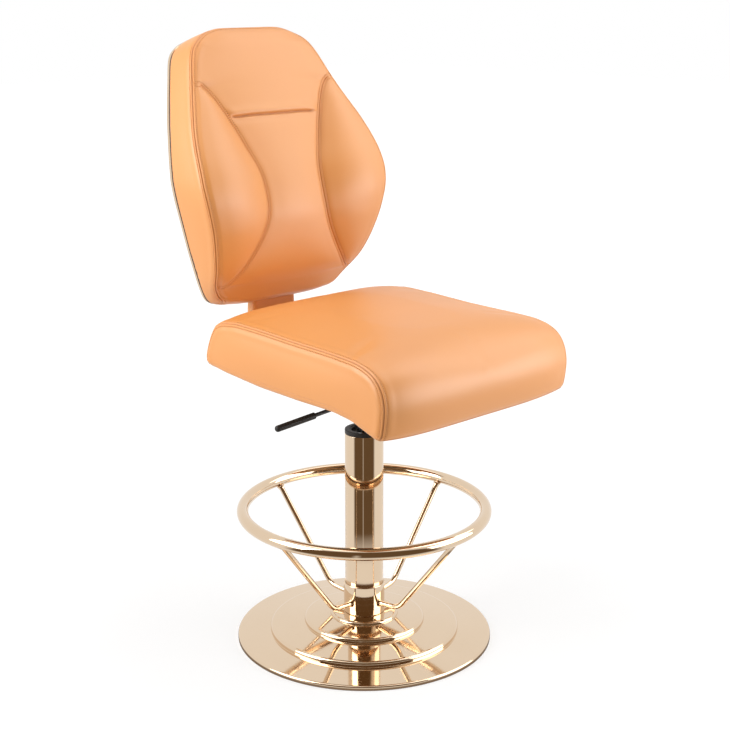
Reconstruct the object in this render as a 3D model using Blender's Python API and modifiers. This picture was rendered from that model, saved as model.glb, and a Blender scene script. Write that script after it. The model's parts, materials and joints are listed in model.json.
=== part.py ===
"""A height-adjustable swivel poker chair on a round disc base.

Lengths are in metres and +Z is up. The origin is on the floor, under the column's axis.
The sitter faces -Y, so the height lever, on the sitter's right, points along -X.
"""

from math import atan, cos, pi, radians, sin

import bmesh
import bpy
from mathutils import Matrix, Vector

# Shared clearances and meshing values
seat_gap = 0.0003
running_gap = 0.0006
overrun = 0.004
merge_distance = 0.0001
fine_steps = 36
round_steps = 24
small_steps = 12
soft_levels = 1

# Disc base
base_radius = 0.2536
pad_thickness = 0.003
pad_inset = 0.009
cover_wall = 0.0012
rim_round = 0.005
rim_clearance = 0.001
land_slope = 0.085
cover_bore_gap = 0.0005
first_step_radius = 0.1885
first_step_height = 0.0149
second_step_radius = 0.1200
second_step_height = 0.0311
centre_step_radius = 0.0680
centre_step_height = 0.0445
cover_top_height = 0.0508
step_round = 0.0070
ballast_rim_height = 0.0049
ballast_step_inset = 0.0120
ballast_step_height = 0.0205
flange_radius = 0.070
flange_thickness = 0.008
base_screw_radius = 0.004
base_screw_head_radius = 0.0068
base_screw_head_height = 0.006
base_screw_circle = 0.054
base_screw_count = 4

# Column and its cap
column_radius = 0.038
column_wall = 0.002
column_height = 0.384
cap_lip_height = 0.0092
cap_lip_round = 0.0012
cap_skirt_depth = 0.026
cap_skirt_wall = 0.004

# Foot ring, its collar and its four spokes
collar_radius = 0.0408
collar_height = 0.061
collar_round = 0.0015
foot_ring_radius = 0.2394
foot_ring_tube_radius = 0.0116
foot_ring_height = 0.267
spoke_radius = 0.0053
spoke_foot_height = 0.0755
spoke_bend_radius = 0.0900
spoke_bend_height = 0.0800
spoke_bend_round = 0.016
spoke_bend_parts = 5
spoke_count = 4
spoke_turn = radians(5.0)
grub_screw_radius = 0.003
grub_screw_turns = (radians(45.0), radians(135.0))
grub_screw_height = 0.012

# Gas lift
stand_tube_radius = 0.025
stand_tube_wall = 0.0015
stand_tube_length = 0.256
stand_tube_sink = 0.004
stand_foot_recess = 0.006
stand_foot_thickness = 0.004
carrier_ring_height = 0.040
carrier_ledge = 0.004
bush_length = 0.085
bush_flange_height = 0.0025
lift_radius = 0.014
lift_wall = 0.002
lift_taper_length = 0.050
lift_taper_drop = 0.0013
lift_gland_height = 0.015
lift_head_height = 0.040
lift_travel = 0.100
piston_rod_radius = 0.005
piston_height = 0.012
rod_shoulder_radius = 0.008
rod_shoulder_height = 0.004
rod_end_radius = 0.004
rod_groove_depth = 0.001
bearing_radius = 0.015
bearing_washer_height = 0.0015
bearing_ball_radius = 0.0016
bearing_ball_count = 10
bearing_cage_wall = 0.001
bearing_cage_height = 0.0014
bumper_radius = 0.0105
bumper_height = 0.024
clip_radius = 0.0085
clip_height = 0.0014
clip_opening = radians(50.0)
rod_end_below_clip = 0.002
valve_pin_radius = 0.0030
valve_pin_length = 0.0185
valve_pin_proud = 0.0055
valve_well_depth = 0.025

# Lift mechanism under the seat
seat_rise = 0.1342
plate_width = 0.200
plate_depth = 0.170
plate_thickness = 0.003
plate_round = 0.016
board_recess = 0.001
housing_width = 0.100
housing_front = 0.070
housing_rear = 0.045
housing_height = 0.068
housing_flange = 0.016
housing_wall = 0.003
socket_radius = 0.021
socket_below = 0.020
socket_above = 0.025
bolt_radius = 0.004
bolt_head_flats = 0.013
bolt_head_height = 0.0055
plate_bolt_x = 0.085
plate_bolt_y = 0.070
bar_bolt_x = 0.030
bar_bolt_y = 0.068

# Height lever
lever_rod_radius = 0.004
lever_pivot_x = 0.040
lever_pivot_above_floor = 0.0077
lever_slope = 0.0584
lever_reach = 0.224
lever_crank_run = 0.012
lever_inner_overhang = 0.006
lever_boss_radius = 0.0062
lever_boss_length = 0.014
lever_pin_radius = 0.0025
lever_lug_wall = 0.003
lever_lug_height = 0.024
lever_lug_width = 0.013
lever_slot_height = 0.019
grip_radius = 0.0065
grip_length = 0.095
grip_end_wall = 0.010

# Seat board and cushion
seat_width = 0.459
seat_front = 0.303
seat_rear = 0.192
seat_board_thickness = 0.012
seat_board_inset = 0.0125
seat_nose_setback = 0.037
seat_rear_kick = 0.0150
seat_flat_end = 0.060
seat_side_height = 0.105
seat_crown = 0.020
seat_side_draw = 0.004
seat_board_setback = 0.012

# Bracket between seat and back
bar_width = 0.090
bar_thickness = 0.008
bar_start = 0.050
bar_bend = 0.025
bar_top_height = 0.194
bar_hole_low = 0.074
bar_hole_high = 0.154
sleeve_side = 0.0105
sleeve_front = 0.0125
sleeve_rear = 0.0035
sleeve_length = 0.066
sleeve_round = 0.008

# Back
back_width = 0.462
back_height = 0.520
back_bottom_rise = 0.0955
back_rear = 0.2765
back_bend_start = 0.214
back_bend_length = 0.160
back_lean = 0.54
back_cushion_depth = 0.096
back_board_thickness = 0.012
back_board_inset = 0.010
board_rear_inset = 0.001
back_crown = 0.007
back_side_draw = 0.005
trim_radius = 0.0024
trim_inset = 0.0026
back_rim_inset = 0.0015
tuck_depth = 0.005
back_top_rise = 0.019
back_top_flare = 0.12
back_top_rise_start_share = 0.86
seam_channel = 0.003
bolster_crest = 0.011
shell_wall = 0.002
shell_depth = 0.009
shell_bulge = 0.012
shell_edge_round = 0.004
shell_slot_margin = 0.003
shell_screw_radius = 0.002
shell_screw_head_radius = 0.0045
shell_screw_head_height = 0.0022
shell_screw_head_gap = 0.0009
shell_boss_radius = 0.006

# Heights that follow from the sizes above
ballast_bottom = pad_thickness + seat_gap
ballast_top = ballast_bottom + ballast_step_height
flange_bottom = ballast_top + seat_gap
flange_top = flange_bottom + flange_thickness
column_bottom = flange_top + seat_gap
column_top = column_bottom + column_height
column_bore = column_radius - column_wall
cap_top = column_top + seat_gap + cap_lip_height
collar_bottom = cover_top_height + seat_gap
collar_bore = column_radius + seat_gap
stand_top = cap_top - stand_tube_sink
stand_bottom = stand_top - stand_tube_length
stand_bore = stand_tube_radius - stand_tube_wall
foot_plate_bottom = stand_bottom + stand_foot_recess
foot_plate_top = foot_plate_bottom + stand_foot_thickness
rod_end_bore = rod_end_radius + running_gap
bearing_bottom = foot_plate_top + seat_gap
ball_height = bearing_bottom + bearing_washer_height + seat_gap + bearing_ball_radius
upper_washer_bottom = ball_height + bearing_ball_radius + seat_gap
bearing_top = upper_washer_bottom + bearing_washer_height
shoulder_bottom = bearing_top + seat_gap
shoulder_top = shoulder_bottom + rod_shoulder_height
bumper_bottom = shoulder_top + seat_gap
bumper_top = bumper_bottom + bumper_height
lift_bottom = bumper_top + seat_gap
seat_bottom = column_top + seat_rise
board_bottom = seat_bottom + board_recess
board_top = board_bottom + seat_board_thickness
plate_top = board_bottom - seat_gap
plate_bottom = plate_top - plate_thickness
housing_top = plate_bottom - seat_gap
housing_bottom = housing_top - housing_height
housing_floor = housing_bottom + housing_wall
socket_bottom = housing_bottom - socket_below
socket_top = housing_bottom + socket_above - seat_gap
lift_top = housing_bottom + socket_above + running_gap * 3
lift_bore = lift_radius - lift_wall
lift_taper_radius = lift_radius - lift_taper_drop
piston_radius = lift_bore - running_gap
lift_bore_top = lift_top - lift_head_height
gland_top = lift_bottom + lift_gland_height
gland_bore = piston_rod_radius + running_gap
piston_bottom = gland_top + lift_travel + piston_height
rod_top = piston_bottom + piston_height
valve_pin_top = lift_top + valve_pin_proud
lever_pivot = Vector((-lever_pivot_x, 0.0, housing_floor + lever_pivot_above_floor))
lever_inner_height = valve_pin_top + seat_gap + lever_rod_radius
back_bottom = seat_bottom + back_bottom_rise

bar_front = back_rear - board_rear_inset + seat_gap
bar_centre = bar_front + bar_thickness / 2
bar_rear = bar_front + bar_thickness
bar_under_plate = plate_bottom - seat_gap - bar_thickness / 2
trim_behind = seat_gap + trim_radius - back_rim_inset
lip_behind = trim_behind + trim_radius + seat_gap

# Side view of the seat cushion, rear to front: share of its depth, share of its side height
seat_top_shares = (
    (0.073, 0.986), (0.130, 1.030), (0.217, 1.038), (0.329, 1.020), (0.451, 1.000), (0.573, 0.982),
    (0.685, 0.976), (0.787, 0.982), (0.868, 0.970), (0.930, 0.915), (0.976, 0.790),
)
seat_under_shares = (
    (0.004, 0.157), (0.055, 0.115), (0.136, 0.066), (0.238, 0.010), (0.350, 0.000), (0.472, 0.000),
    (0.593, 0.000), (0.705, -0.005), (0.807, -0.036), (0.898, -0.100), (0.984, -0.185),
)
seat_rear_shares = ((0.004, 0.157), (-0.006, 0.380), (0.024, 0.700), (0.073, 0.986))
seat_nose_shares = ((0.984, -0.185), (1.000, 0.120), (1.000, 0.470), (0.976, 0.790))
seat_plan_shares = (0.998, 1.000, 1.000, 1.000, 1.000, 1.000, 1.000, 1.005, 1.012, 1.020, 1.022)
seat_column_shares = (0.0, 0.35, 0.66, 0.90, 1.0)

# Outline of the back, bottom to top: share of its height, share of its half width
back_outline_shares = (
    (0.000, 0.340), (0.007, 0.480), (0.019, 0.632), (0.040, 0.691), (0.103, 0.766), (0.232, 0.859),
    (0.372, 0.943), (0.433, 0.980), (0.498, 1.000), (0.565, 0.985), (0.623, 0.959), (0.697, 0.910),
    (0.782, 0.828), (0.869, 0.733), (0.915, 0.682), (0.947, 0.616), (0.975, 0.490), (1.000, 0.300),
)
# Share of the back's height, share of the cushion's greatest depth at its side seam
gusset_shares = (
    (0.000, 0.276), (0.067, 0.370), (0.107, 0.470), (0.163, 0.650), (0.218, 0.780), (0.278, 0.885),
    (0.339, 0.960), (0.419, 1.000), (0.495, 0.980), (0.565, 0.917), (0.620, 0.844), (0.681, 0.770),
    (0.796, 0.677), (0.912, 0.625), (1.000, 0.460),
)
# Share of the back's height, share of that depth at the inner seams
panel_shares = (
    (0.000, 0.344), (0.087, 0.540), (0.148, 0.710), (0.218, 0.823), (0.298, 0.896), (0.374, 0.920),
    (0.449, 0.840), (0.530, 0.745), (0.605, 0.635), (0.681, 0.595), (0.761, 0.625), (0.832, 0.650),
    (0.932, 0.640), (1.000, 0.500),
)
# Share of the back's height, share of the half width at which the inner seam lies
inner_seam_shares = (
    (0.000, 0.800), (0.097, 0.800), (0.158, 0.690), (0.218, 0.570), (0.298, 0.410), (0.374, 0.335),
    (0.449, 0.316), (0.530, 0.333), (0.605, 0.406), (0.681, 0.508), (0.761, 0.640), (0.832, 0.760),
    (0.912, 0.800), (1.000, 0.800),
)
back_row_shares = (
    0.0, 0.02, 0.09, 0.19, 0.30, 0.41, 0.465, 0.53, 0.59, 0.65, 0.69, 0.73, 0.78, 0.87, 0.95, 1.0,
)
tuck_row_share = 0.73
# Across and height shares of the shell's four screws
shell_screw_shares = ((-0.62, 0.28), (0.62, 0.28), (-0.62, 0.72), (0.62, 0.72))


# Scene, collections and finishes

def clear_scene():
    for obj in list(bpy.data.objects):
        bpy.data.objects.remove(obj, do_unlink=True)


def new_collection(name, hidden=False):
    made = bpy.data.collections.new(name)
    bpy.context.scene.collection.children.link(made)
    made.hide_render = hidden
    return made


clear_scene()
chair = new_collection("poker_chair")
cutters = new_collection("cutters", hidden=True)

# Colour, roughness and metallic value of each finish
finishes = {
    "champagne_metal": ((0.78, 0.66, 0.50), 0.12, 1.0),
    "dark_steel": ((0.05, 0.05, 0.055), 0.45, 0.6),
    "bright_steel": ((0.62, 0.62, 0.63), 0.28, 1.0),
    "cast_iron": ((0.06, 0.06, 0.06), 0.70, 0.4),
    "black_plastic": ((0.03, 0.027, 0.025), 0.40, 0.0),
    "black_rubber": ((0.02, 0.02, 0.02), 0.80, 0.0),
    "plywood": ((0.50, 0.34, 0.19), 0.75, 0.0),
    "tan_leather": ((0.84, 0.42, 0.17), 0.42, 0.0),
    "brown_trim": ((0.12, 0.06, 0.04), 0.50, 0.0),
}


def dress(obj, finish):
    colour, roughness, metallic = finishes[finish]
    material = bpy.data.materials.new(obj.name + "_" + finish)
    material.use_nodes = True
    shader = material.node_tree.nodes["Principled BSDF"]
    shader.inputs["Base Color"].default_value = (*colour, 1.0)
    shader.inputs["Roughness"].default_value = roughness
    shader.inputs["Metallic"].default_value = metallic
    obj.data.materials.clear()
    obj.data.materials.append(material)
    return obj


def empty(name, place, parent=None):
    made = bpy.data.objects.new(name, None)
    chair.objects.link(made)
    if parent:
        made.parent = parent
        made.location = Vector(place) - parent_place(parent)
    else:
        made.location = place
    return made


def parent_place(obj):
    place = Vector((0.0, 0.0, 0.0))
    while obj:
        place += obj.location
        obj = obj.parent
    return place


def carry(carrier, *pieces):
    """Parents pieces to an empty, which is unturned, and keeps them where they are."""
    for piece in pieces:
        piece.parent = carrier
        piece.location = piece.location - parent_place(carrier)


# Modelling helpers

def add_mesh(name, bm, place=(0.0, 0.0, 0.0)):
    mesh = bpy.data.meshes.new(name)
    bm.to_mesh(mesh)
    bm.free()
    obj = bpy.data.objects.new(name, mesh)
    obj.location = place
    chair.objects.link(obj)
    return obj


def add_cutter(obj):
    for group in list(obj.users_collection):
        group.objects.unlink(obj)
    cutters.objects.link(obj)
    obj.hide_render = True
    obj.display_type = "WIRE"
    return obj


def turned(name, profile, steps, place=(0.0, 0.0, 0.0), ring=False):
    """Turns a profile of (radius, height) points that runs down its outer side."""
    bm = bmesh.new()
    points = [bm.verts.new((radius, 0.0, height)) for radius, height in profile]
    for first, second in zip(points, points[1:]):
        bm.edges.new((first, second))
    if ring:
        bm.edges.new((points[-1], points[0]))
    obj = add_mesh(name, bm, place)
    turn = obj.modifiers.new("Turn", "SCREW")
    turn.steps = steps
    turn.render_steps = steps
    turn.use_merge_vertices = True
    turn.merge_threshold = merge_distance
    turn.use_smooth_shade = True
    return obj


def tube_ring(outer, inner, height, low=0.0):
    """The closed profile of a plain ring, down its outer side and up its bore."""
    return [(outer, low + height), (outer, low), (inner, low), (inner, low + height)]


def disc(radius, height):
    return [(0.0, height), (radius, height), (radius, 0.0), (0.0, 0.0)]


def arc(centre, radius, start, end, count):
    """Points on an arc in a plane, from one angle to another in degrees."""
    made = []
    for index in range(count + 1):
        angle = radians(start + (end - start) * index / count)
        made.append((centre[0] + radius * cos(angle), centre[1] + radius * sin(angle)))
    return made


def rod(name, path, radius, resolution=2):
    curve = bpy.data.curves.new(name, "CURVE")
    curve.dimensions = "3D"
    curve.bevel_depth = radius
    curve.bevel_resolution = resolution
    curve.use_fill_caps = True
    spline = curve.splines.new("POLY")
    spline.points.add(len(path) - 1)
    for point, place in zip(spline.points, path):
        point.co = (*place, 1.0)
    obj = bpy.data.objects.new(name, curve)
    chair.objects.link(obj)
    return obj


def flat(name, outlines, thickness, place=(0.0, 0.0, 0.0)):
    """A flat piece with its outline, and any hole, in X and Y."""
    curve = bpy.data.curves.new(name, "CURVE")
    curve.dimensions = "2D"
    curve.fill_mode = "BOTH"
    curve.extrude = thickness / 2
    for outline in outlines:
        spline = curve.splines.new("POLY")
        spline.points.add(len(outline) - 1)
        for point, place_2d in zip(spline.points, outline):
            point.co = (place_2d[0], place_2d[1], 0.0, 1.0)
        spline.use_cyclic_u = True
    obj = bpy.data.objects.new(name, curve)
    obj.location = place
    chair.objects.link(obj)
    return obj


def as_mesh(obj):
    """The same piece as one welded mesh, which can be cut and joined."""
    bpy.context.view_layer.update()
    graph = bpy.context.evaluated_depsgraph_get()
    mesh = bpy.data.meshes.new_from_object(obj.evaluated_get(graph))
    bm = bmesh.new()
    bm.from_mesh(mesh)
    bmesh.ops.remove_doubles(bm, verts=bm.verts, dist=merge_distance)
    bm.to_mesh(mesh)
    bm.free()
    made = bpy.data.objects.new("welded", mesh)
    made.matrix_world = obj.matrix_world.copy()
    for group in obj.users_collection:
        group.objects.link(made)
    name = obj.name
    bpy.data.objects.remove(obj, do_unlink=True)
    made.name = name
    mesh.name = name
    return made


def block(name, size, place):
    bm = bmesh.new()
    bmesh.ops.create_cube(bm, size=1.0)
    bmesh.ops.scale(bm, vec=size, verts=bm.verts)
    return add_mesh(name, bm, place)


def peg(name, radius, length, place, steps=small_steps, turn=Matrix.Identity(4)):
    """A plain cylinder along Z, centred on its place before it is turned."""
    bm = bmesh.new()
    bmesh.ops.create_cone(
        bm, cap_ends=True, segments=steps, radius1=radius, radius2=radius, depth=length, matrix=turn
    )
    return add_mesh(name, bm, place)


def change(obj, tool, operation):
    boolean = obj.modifiers.new(operation.title(), "BOOLEAN")
    boolean.operation = operation
    boolean.object = add_cutter(tool)
    return obj


def cut(obj, *tools):
    for tool in tools:
        change(obj, tool, "DIFFERENCE")
    return obj


def join(obj, *tools):
    for tool in tools:
        change(obj, tool, "UNION")
    return obj


def mesh_of(obj):
    """Takes the finished mesh of a pattern piece, and removes the piece and its tools."""
    tools = [mod.object for mod in obj.modifiers if mod.type == "BOOLEAN"]
    obj = as_mesh(obj)
    mesh = obj.data
    mesh.transform(obj.matrix_world)
    bpy.data.objects.remove(obj, do_unlink=True)
    for tool in tools:
        bpy.data.objects.remove(tool, do_unlink=True)
    return mesh


def copies(name, pattern, places, finish):
    """Equal pieces, one at each place, numbered from 1."""
    made = []
    for index, place in enumerate(places):
        piece = bpy.data.objects.new(name + "_" + str(index + 1), pattern.copy())
        piece.matrix_world = place
        chair.objects.link(piece)
        made.append(dress(piece, finish))
    return made


def hex_bolt(shank_length):
    """A bolt whose head hangs below the origin and whose shank rises from it."""
    head = peg("bolt", bolt_head_flats / 2 / cos(pi / 6), bolt_head_height, (0, 0, -bolt_head_height / 2), 6)
    shank = peg("shank", bolt_radius, shank_length + overrun / 2, (0, 0, (shank_length - overrun / 2) / 2))
    return mesh_of(join(head, shank))


def smooth_follow(keys, share):
    """Reads a table of (share, value) keys with a smooth curve through them."""
    share = min(max(share, keys[0][0]), keys[-1][0])
    last = len(keys) - 2
    index = next((k for k in range(last + 1) if share <= keys[k + 1][0]), last)
    x0, y0 = keys[index]
    x1, y1 = keys[index + 1]
    before = keys[max(index - 1, 0)]
    after = keys[min(index + 2, last + 1)]
    slope_0 = (y1 - before[1]) / (x1 - before[0])
    slope_1 = (after[1] - y0) / (after[0] - x0)
    t = (share - x0) / (x1 - x0)
    width = x1 - x0
    return (
        (1 + 2 * t) * (1 - t) ** 2 * y0
        + t * (1 - t) ** 2 * width * slope_0
        + t * t * (3 - 2 * t) * y1
        + t * t * (t - 1) * width * slope_1
    )


def sheet(name, columns, rows, place, thickness, side=-1.0):
    """A grid whose points are placed by place(across, along), then thickened to one side."""
    bm = bmesh.new()
    bmesh.ops.create_grid(bm, x_segments=columns, y_segments=rows, size=1.0)
    for vert in bm.verts:
        vert.co = place(vert.co.x, vert.co.y)
    obj = add_mesh(name, bm)
    wall = obj.modifiers.new("Wall", "SOLIDIFY")
    wall.thickness = thickness
    wall.offset = side
    return obj


def divided_block(columns, rows, layers):
    """A cube of side 2 with its edges along X, Z and Y cut into equal parts."""
    bm = bmesh.new()
    bmesh.ops.create_cube(bm, size=2.0)
    for axis, parts in ((0, columns), (2, rows), (1, layers)):
        along = [
            edge
            for edge in bm.edges
            if abs((edge.verts[0].co - edge.verts[1].co).normalized()[axis]) > 0.9
        ]
        bmesh.ops.subdivide_edges(bm, edges=along, cuts=parts - 1, use_grid_fill=True)
    return bm


def soften(obj):
    soft = obj.modifiers.new("Soft", "SUBSURF")
    soft.levels = soft_levels
    soft.render_levels = soft_levels
    return obj


def pull_edges(bm, chosen, amount):
    """Creases the edges that the rule chooses, so that the soft form keeps them."""
    crease = bm.edges.layers.float.get("crease_edge") or bm.edges.layers.float.new("crease_edge")
    for edge in bm.edges:
        if chosen(edge.verts[0].co, edge.verts[1].co):
            edge[crease] = amount


# Paths and outlines

def rounded_path(points, radius, segments=4):
    """A path with each inner corner replaced by a smooth bend that starts one radius away."""
    points = [Vector(point) for point in points]
    made = [points[0]]
    for before, corner, after in zip(points, points[1:], points[2:]):
        start = corner + (before - corner).normalized() * radius
        end = corner + (after - corner).normalized() * radius
        for index in range(segments + 1):
            share = index / segments
            made.append(start.lerp(corner, share).lerp(corner.lerp(end, share), share))
    made.append(points[-1])
    return made


def circle(x, y, radius):
    angles = [2 * pi * index / small_steps for index in range(small_steps)]
    return [(x + radius * cos(angle), y + radius * sin(angle)) for angle in angles]


def rounded_box(half_x, half_y, radius, y=0.0, segments=3):
    """A rectangle with round corners, as an outline."""
    made = []
    for sign_x, sign_y, start in ((1, 1, 0), (-1, 1, 90), (-1, -1, 180), (1, -1, 270)):
        centre = (sign_x * (half_x - radius), y + sign_y * (half_y - radius))
        made += arc(centre, radius, start, start + 90, segments)
    return made


def along_y():
    """Turns a piece's Z axis to -Y, as for a bolt that points forwards."""
    return Matrix.Rotation(pi / 2, 4, "X")


# Disc base

def make_base(fixed):
    pad = turned("floor_pad", disc(base_radius - pad_inset, pad_thickness), fine_steps)
    dress(pad, "black_rubber")

    rim = base_radius - cover_wall - running_gap - rim_round
    step = first_step_radius - ballast_step_inset
    profile = [
        (0.0, ballast_step_height),
        (step - ballast_step_inset, ballast_step_height),
        (step, ballast_step_height - ballast_rim_height),
        (step, ballast_rim_height + rim_round),
        (rim, ballast_rim_height),
        (rim, 0.0),
        (0.0, 0.0),
    ]
    ballast = turned("ballast_plate", profile, fine_steps, (0, 0, ballast_bottom))
    dress(ballast, "cast_iron")

    plate = disc(flange_radius, flange_thickness)
    flange = turned("column_flange", plate, round_steps, (0, 0, flange_bottom))
    dress(flange, "dark_steel")

    cover = turned("base_cover", cover_profile(), fine_steps)
    wall = cover.modifiers.new("Wall", "SOLIDIFY")
    wall.thickness = cover_wall
    wall.offset = -1.0
    wall.use_even_offset = True
    dress(cover, "champagne_metal")

    head_low = ballast_bottom + seat_gap
    shank_top = flange_top - merge_distance
    profile = [
        (0.0, shank_top - head_low),
        (base_screw_radius, shank_top - head_low),
        (base_screw_radius, base_screw_head_height),
        (base_screw_head_radius, base_screw_head_height),
        (base_screw_head_radius, 0.0),
        (0.0, 0.0),
    ]
    pattern = mesh_of(turned("base_screw", profile, small_steps))
    places = []
    for index in range(base_screw_count):
        angle = 2 * pi * (index + 0.5) / base_screw_count
        place = Vector((cos(angle), sin(angle), 0.0)) * base_screw_circle
        places.append(Matrix.Translation(place + Vector((0, 0, head_low))))
        for piece in (ballast, flange):
            hole_radius = base_screw_radius + seat_gap
            cut(piece, peg("base_hole", hole_radius, shank_top * 2, (place.x, place.y, shank_top)))
        recess_height = base_screw_head_height + seat_gap * 2
        recess_place = (place.x, place.y, ballast_bottom + (recess_height - overrun) / 2)
        recess_radius = base_screw_head_radius + running_gap
        cut(ballast, peg("base_recess", recess_radius, recess_height + overrun, recess_place))
    screws = copies("base_screw", pattern, places, "bright_steel")
    carry(fixed, pad, ballast, flange, cover, *screws)


def cover_profile():
    """Hub to rim: level lands joined by rounded shoulders."""
    profile = [(column_radius + cover_bore_gap, cover_top_height)]
    steps = (
        (centre_step_radius, centre_step_height),
        (second_step_radius, second_step_height),
        (first_step_radius, first_step_height),
        (base_radius, rim_clearance + rim_round),
    )
    height = cover_top_height
    inner = None
    for radius, foot in steps:
        run = rim_round if radius == base_radius else step_round
        if inner is not None:
            height = profile[-1][1] - land_slope * (radius - run - inner)
        for angle in (0, 45, 90):
            across = radius - run + run * sin(radians(angle))
            profile.append((across, foot + (height - foot) * cos(radians(angle))))
        inner = radius
    profile.append((base_radius, rim_clearance))
    return profile


# Column

def make_column(fixed):
    column = turned(
        "column_tube",
        tube_ring(column_radius, column_bore, column_height),
        fine_steps,
        (0, 0, column_bottom),
        ring=True,
    )
    dress(column, "champagne_metal")

    lip_low = column_top + seat_gap
    skirt_outer = column_bore - seat_gap
    skirt_low = lip_low - cap_skirt_depth
    bore = stand_tube_radius + seat_gap
    profile = [
        (bore, cap_top),
        (column_radius - cap_lip_round, cap_top),
        (column_radius, cap_top - cap_lip_round),
        (column_radius, lip_low),
        (skirt_outer, lip_low),
        (skirt_outer, skirt_low),
        (skirt_outer - cap_skirt_wall, skirt_low),
        (skirt_outer - cap_skirt_wall, lip_low),
        (bore, lip_low),
    ]
    cap = dress(turned("column_cap", profile, fine_steps, ring=True), "black_plastic")

    ledge_low = stand_bottom - seat_gap - carrier_ledge
    outer = column_bore - seat_gap
    profile = [
        (outer, ledge_low + carrier_ring_height),
        (outer, ledge_low),
        (stand_bore, ledge_low),
        (stand_bore, stand_bottom - seat_gap),
        (stand_tube_radius + seat_gap, stand_bottom - seat_gap),
        (stand_tube_radius + seat_gap, ledge_low + carrier_ring_height),
    ]
    carrier = dress(turned("lift_carrier_ring", profile, round_steps, ring=True), "dark_steel")

    profile = [
        (stand_tube_radius, stand_top),
        (stand_tube_radius, stand_bottom),
        (stand_bore, stand_bottom),
        (stand_bore, foot_plate_bottom),
        (rod_end_bore, foot_plate_bottom),
        (rod_end_bore, foot_plate_top),
        (stand_bore, foot_plate_top),
        (stand_bore, stand_top),
    ]
    stand = dress(turned("stand_tube", profile, round_steps, ring=True), "bright_steel")

    flange_low = stand_top + seat_gap
    bush_outer = stand_bore - seat_gap
    bush_bore = lift_radius + running_gap
    profile = [
        (stand_tube_radius, flange_low + bush_flange_height),
        (stand_tube_radius, flange_low),
        (bush_outer, flange_low),
        (bush_outer, flange_low - bush_length),
        (bush_bore, flange_low - bush_length),
        (bush_bore, flange_low + bush_flange_height),
    ]
    bush = dress(turned("guide_bush", profile, round_steps, ring=True), "black_plastic")
    carry(fixed, column, cap, carrier, stand, bush)


# Foot ring

def make_foot_ring(fixed):
    profile = [
        (collar_radius - collar_round, collar_height),
        (collar_radius, collar_height - collar_round),
        (collar_radius, collar_round),
        (collar_radius - collar_round, 0.0),
        (collar_bore, 0.0),
        (collar_bore, collar_height),
    ]
    collar = turned("foot_ring_collar", profile, fine_steps, (0, 0, collar_bottom), ring=True)
    dress(collar, "champagne_metal")

    bpy.ops.mesh.primitive_torus_add(
        major_radius=foot_ring_radius,
        minor_radius=foot_ring_tube_radius,
        major_segments=fine_steps,
        minor_segments=small_steps,
        location=(0, 0, foot_ring_height),
    )
    ring = bpy.context.object
    ring.name = "foot_ring"
    ring.rotation_euler.z = spoke_turn + pi / fine_steps
    ring.data.shade_smooth()
    for group in list(ring.users_collection):
        group.objects.unlink(ring)
    chair.objects.link(ring)
    dress(ring, "champagne_metal")

    start = collar_radius + seat_gap
    bend = Vector((spoke_bend_radius, spoke_bend_height))
    ring_centre = Vector((foot_ring_radius * cos(pi / fine_steps), foot_ring_height))
    rise = (ring_centre - bend).normalized()
    end = ring_centre - rise * (foot_ring_tube_radius + seat_gap)
    foot = (start + spoke_radius, spoke_foot_height, 0.0)
    side_view = [Vector((start, spoke_foot_height, 0.0))]
    side_view += rounded_path((foot, (*bend, 0.0), (*end, 0.0)), spoke_bend_round, spoke_bend_parts)
    spokes = []
    for index in range(spoke_count):
        angle = spoke_turn + 2 * pi * index / spoke_count
        path = [(point.x * cos(angle), point.x * sin(angle), point.y) for point in side_view]
        spokes.append(dress(rod("spoke_" + str(index + 1), path, spoke_radius), "champagne_metal"))

    screw_length = collar_radius - column_radius
    pattern = mesh_of(turned("grub", disc(grub_screw_radius, screw_length - seat_gap), small_steps))
    places = []
    for turn in grub_screw_turns:
        angle = spoke_turn + turn
        outwards = Vector((cos(angle), sin(angle), 0.0))
        start_point = outwards * (column_radius + seat_gap)
        start_point.z = collar_bottom + collar_height - grub_screw_height
        facing = outwards.to_track_quat("Z", "Y").to_matrix().to_4x4()
        places.append(Matrix.Translation(start_point) @ facing)
        hole = peg("grub_hole", grub_screw_radius + seat_gap, collar_radius, start_point, turn=facing)
        cut(collar, hole)
    grubs = copies("collar_grub_screw", pattern, places, "dark_steel")
    carry(fixed, collar, ring, *grubs, *spokes)


# Gas lift

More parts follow.
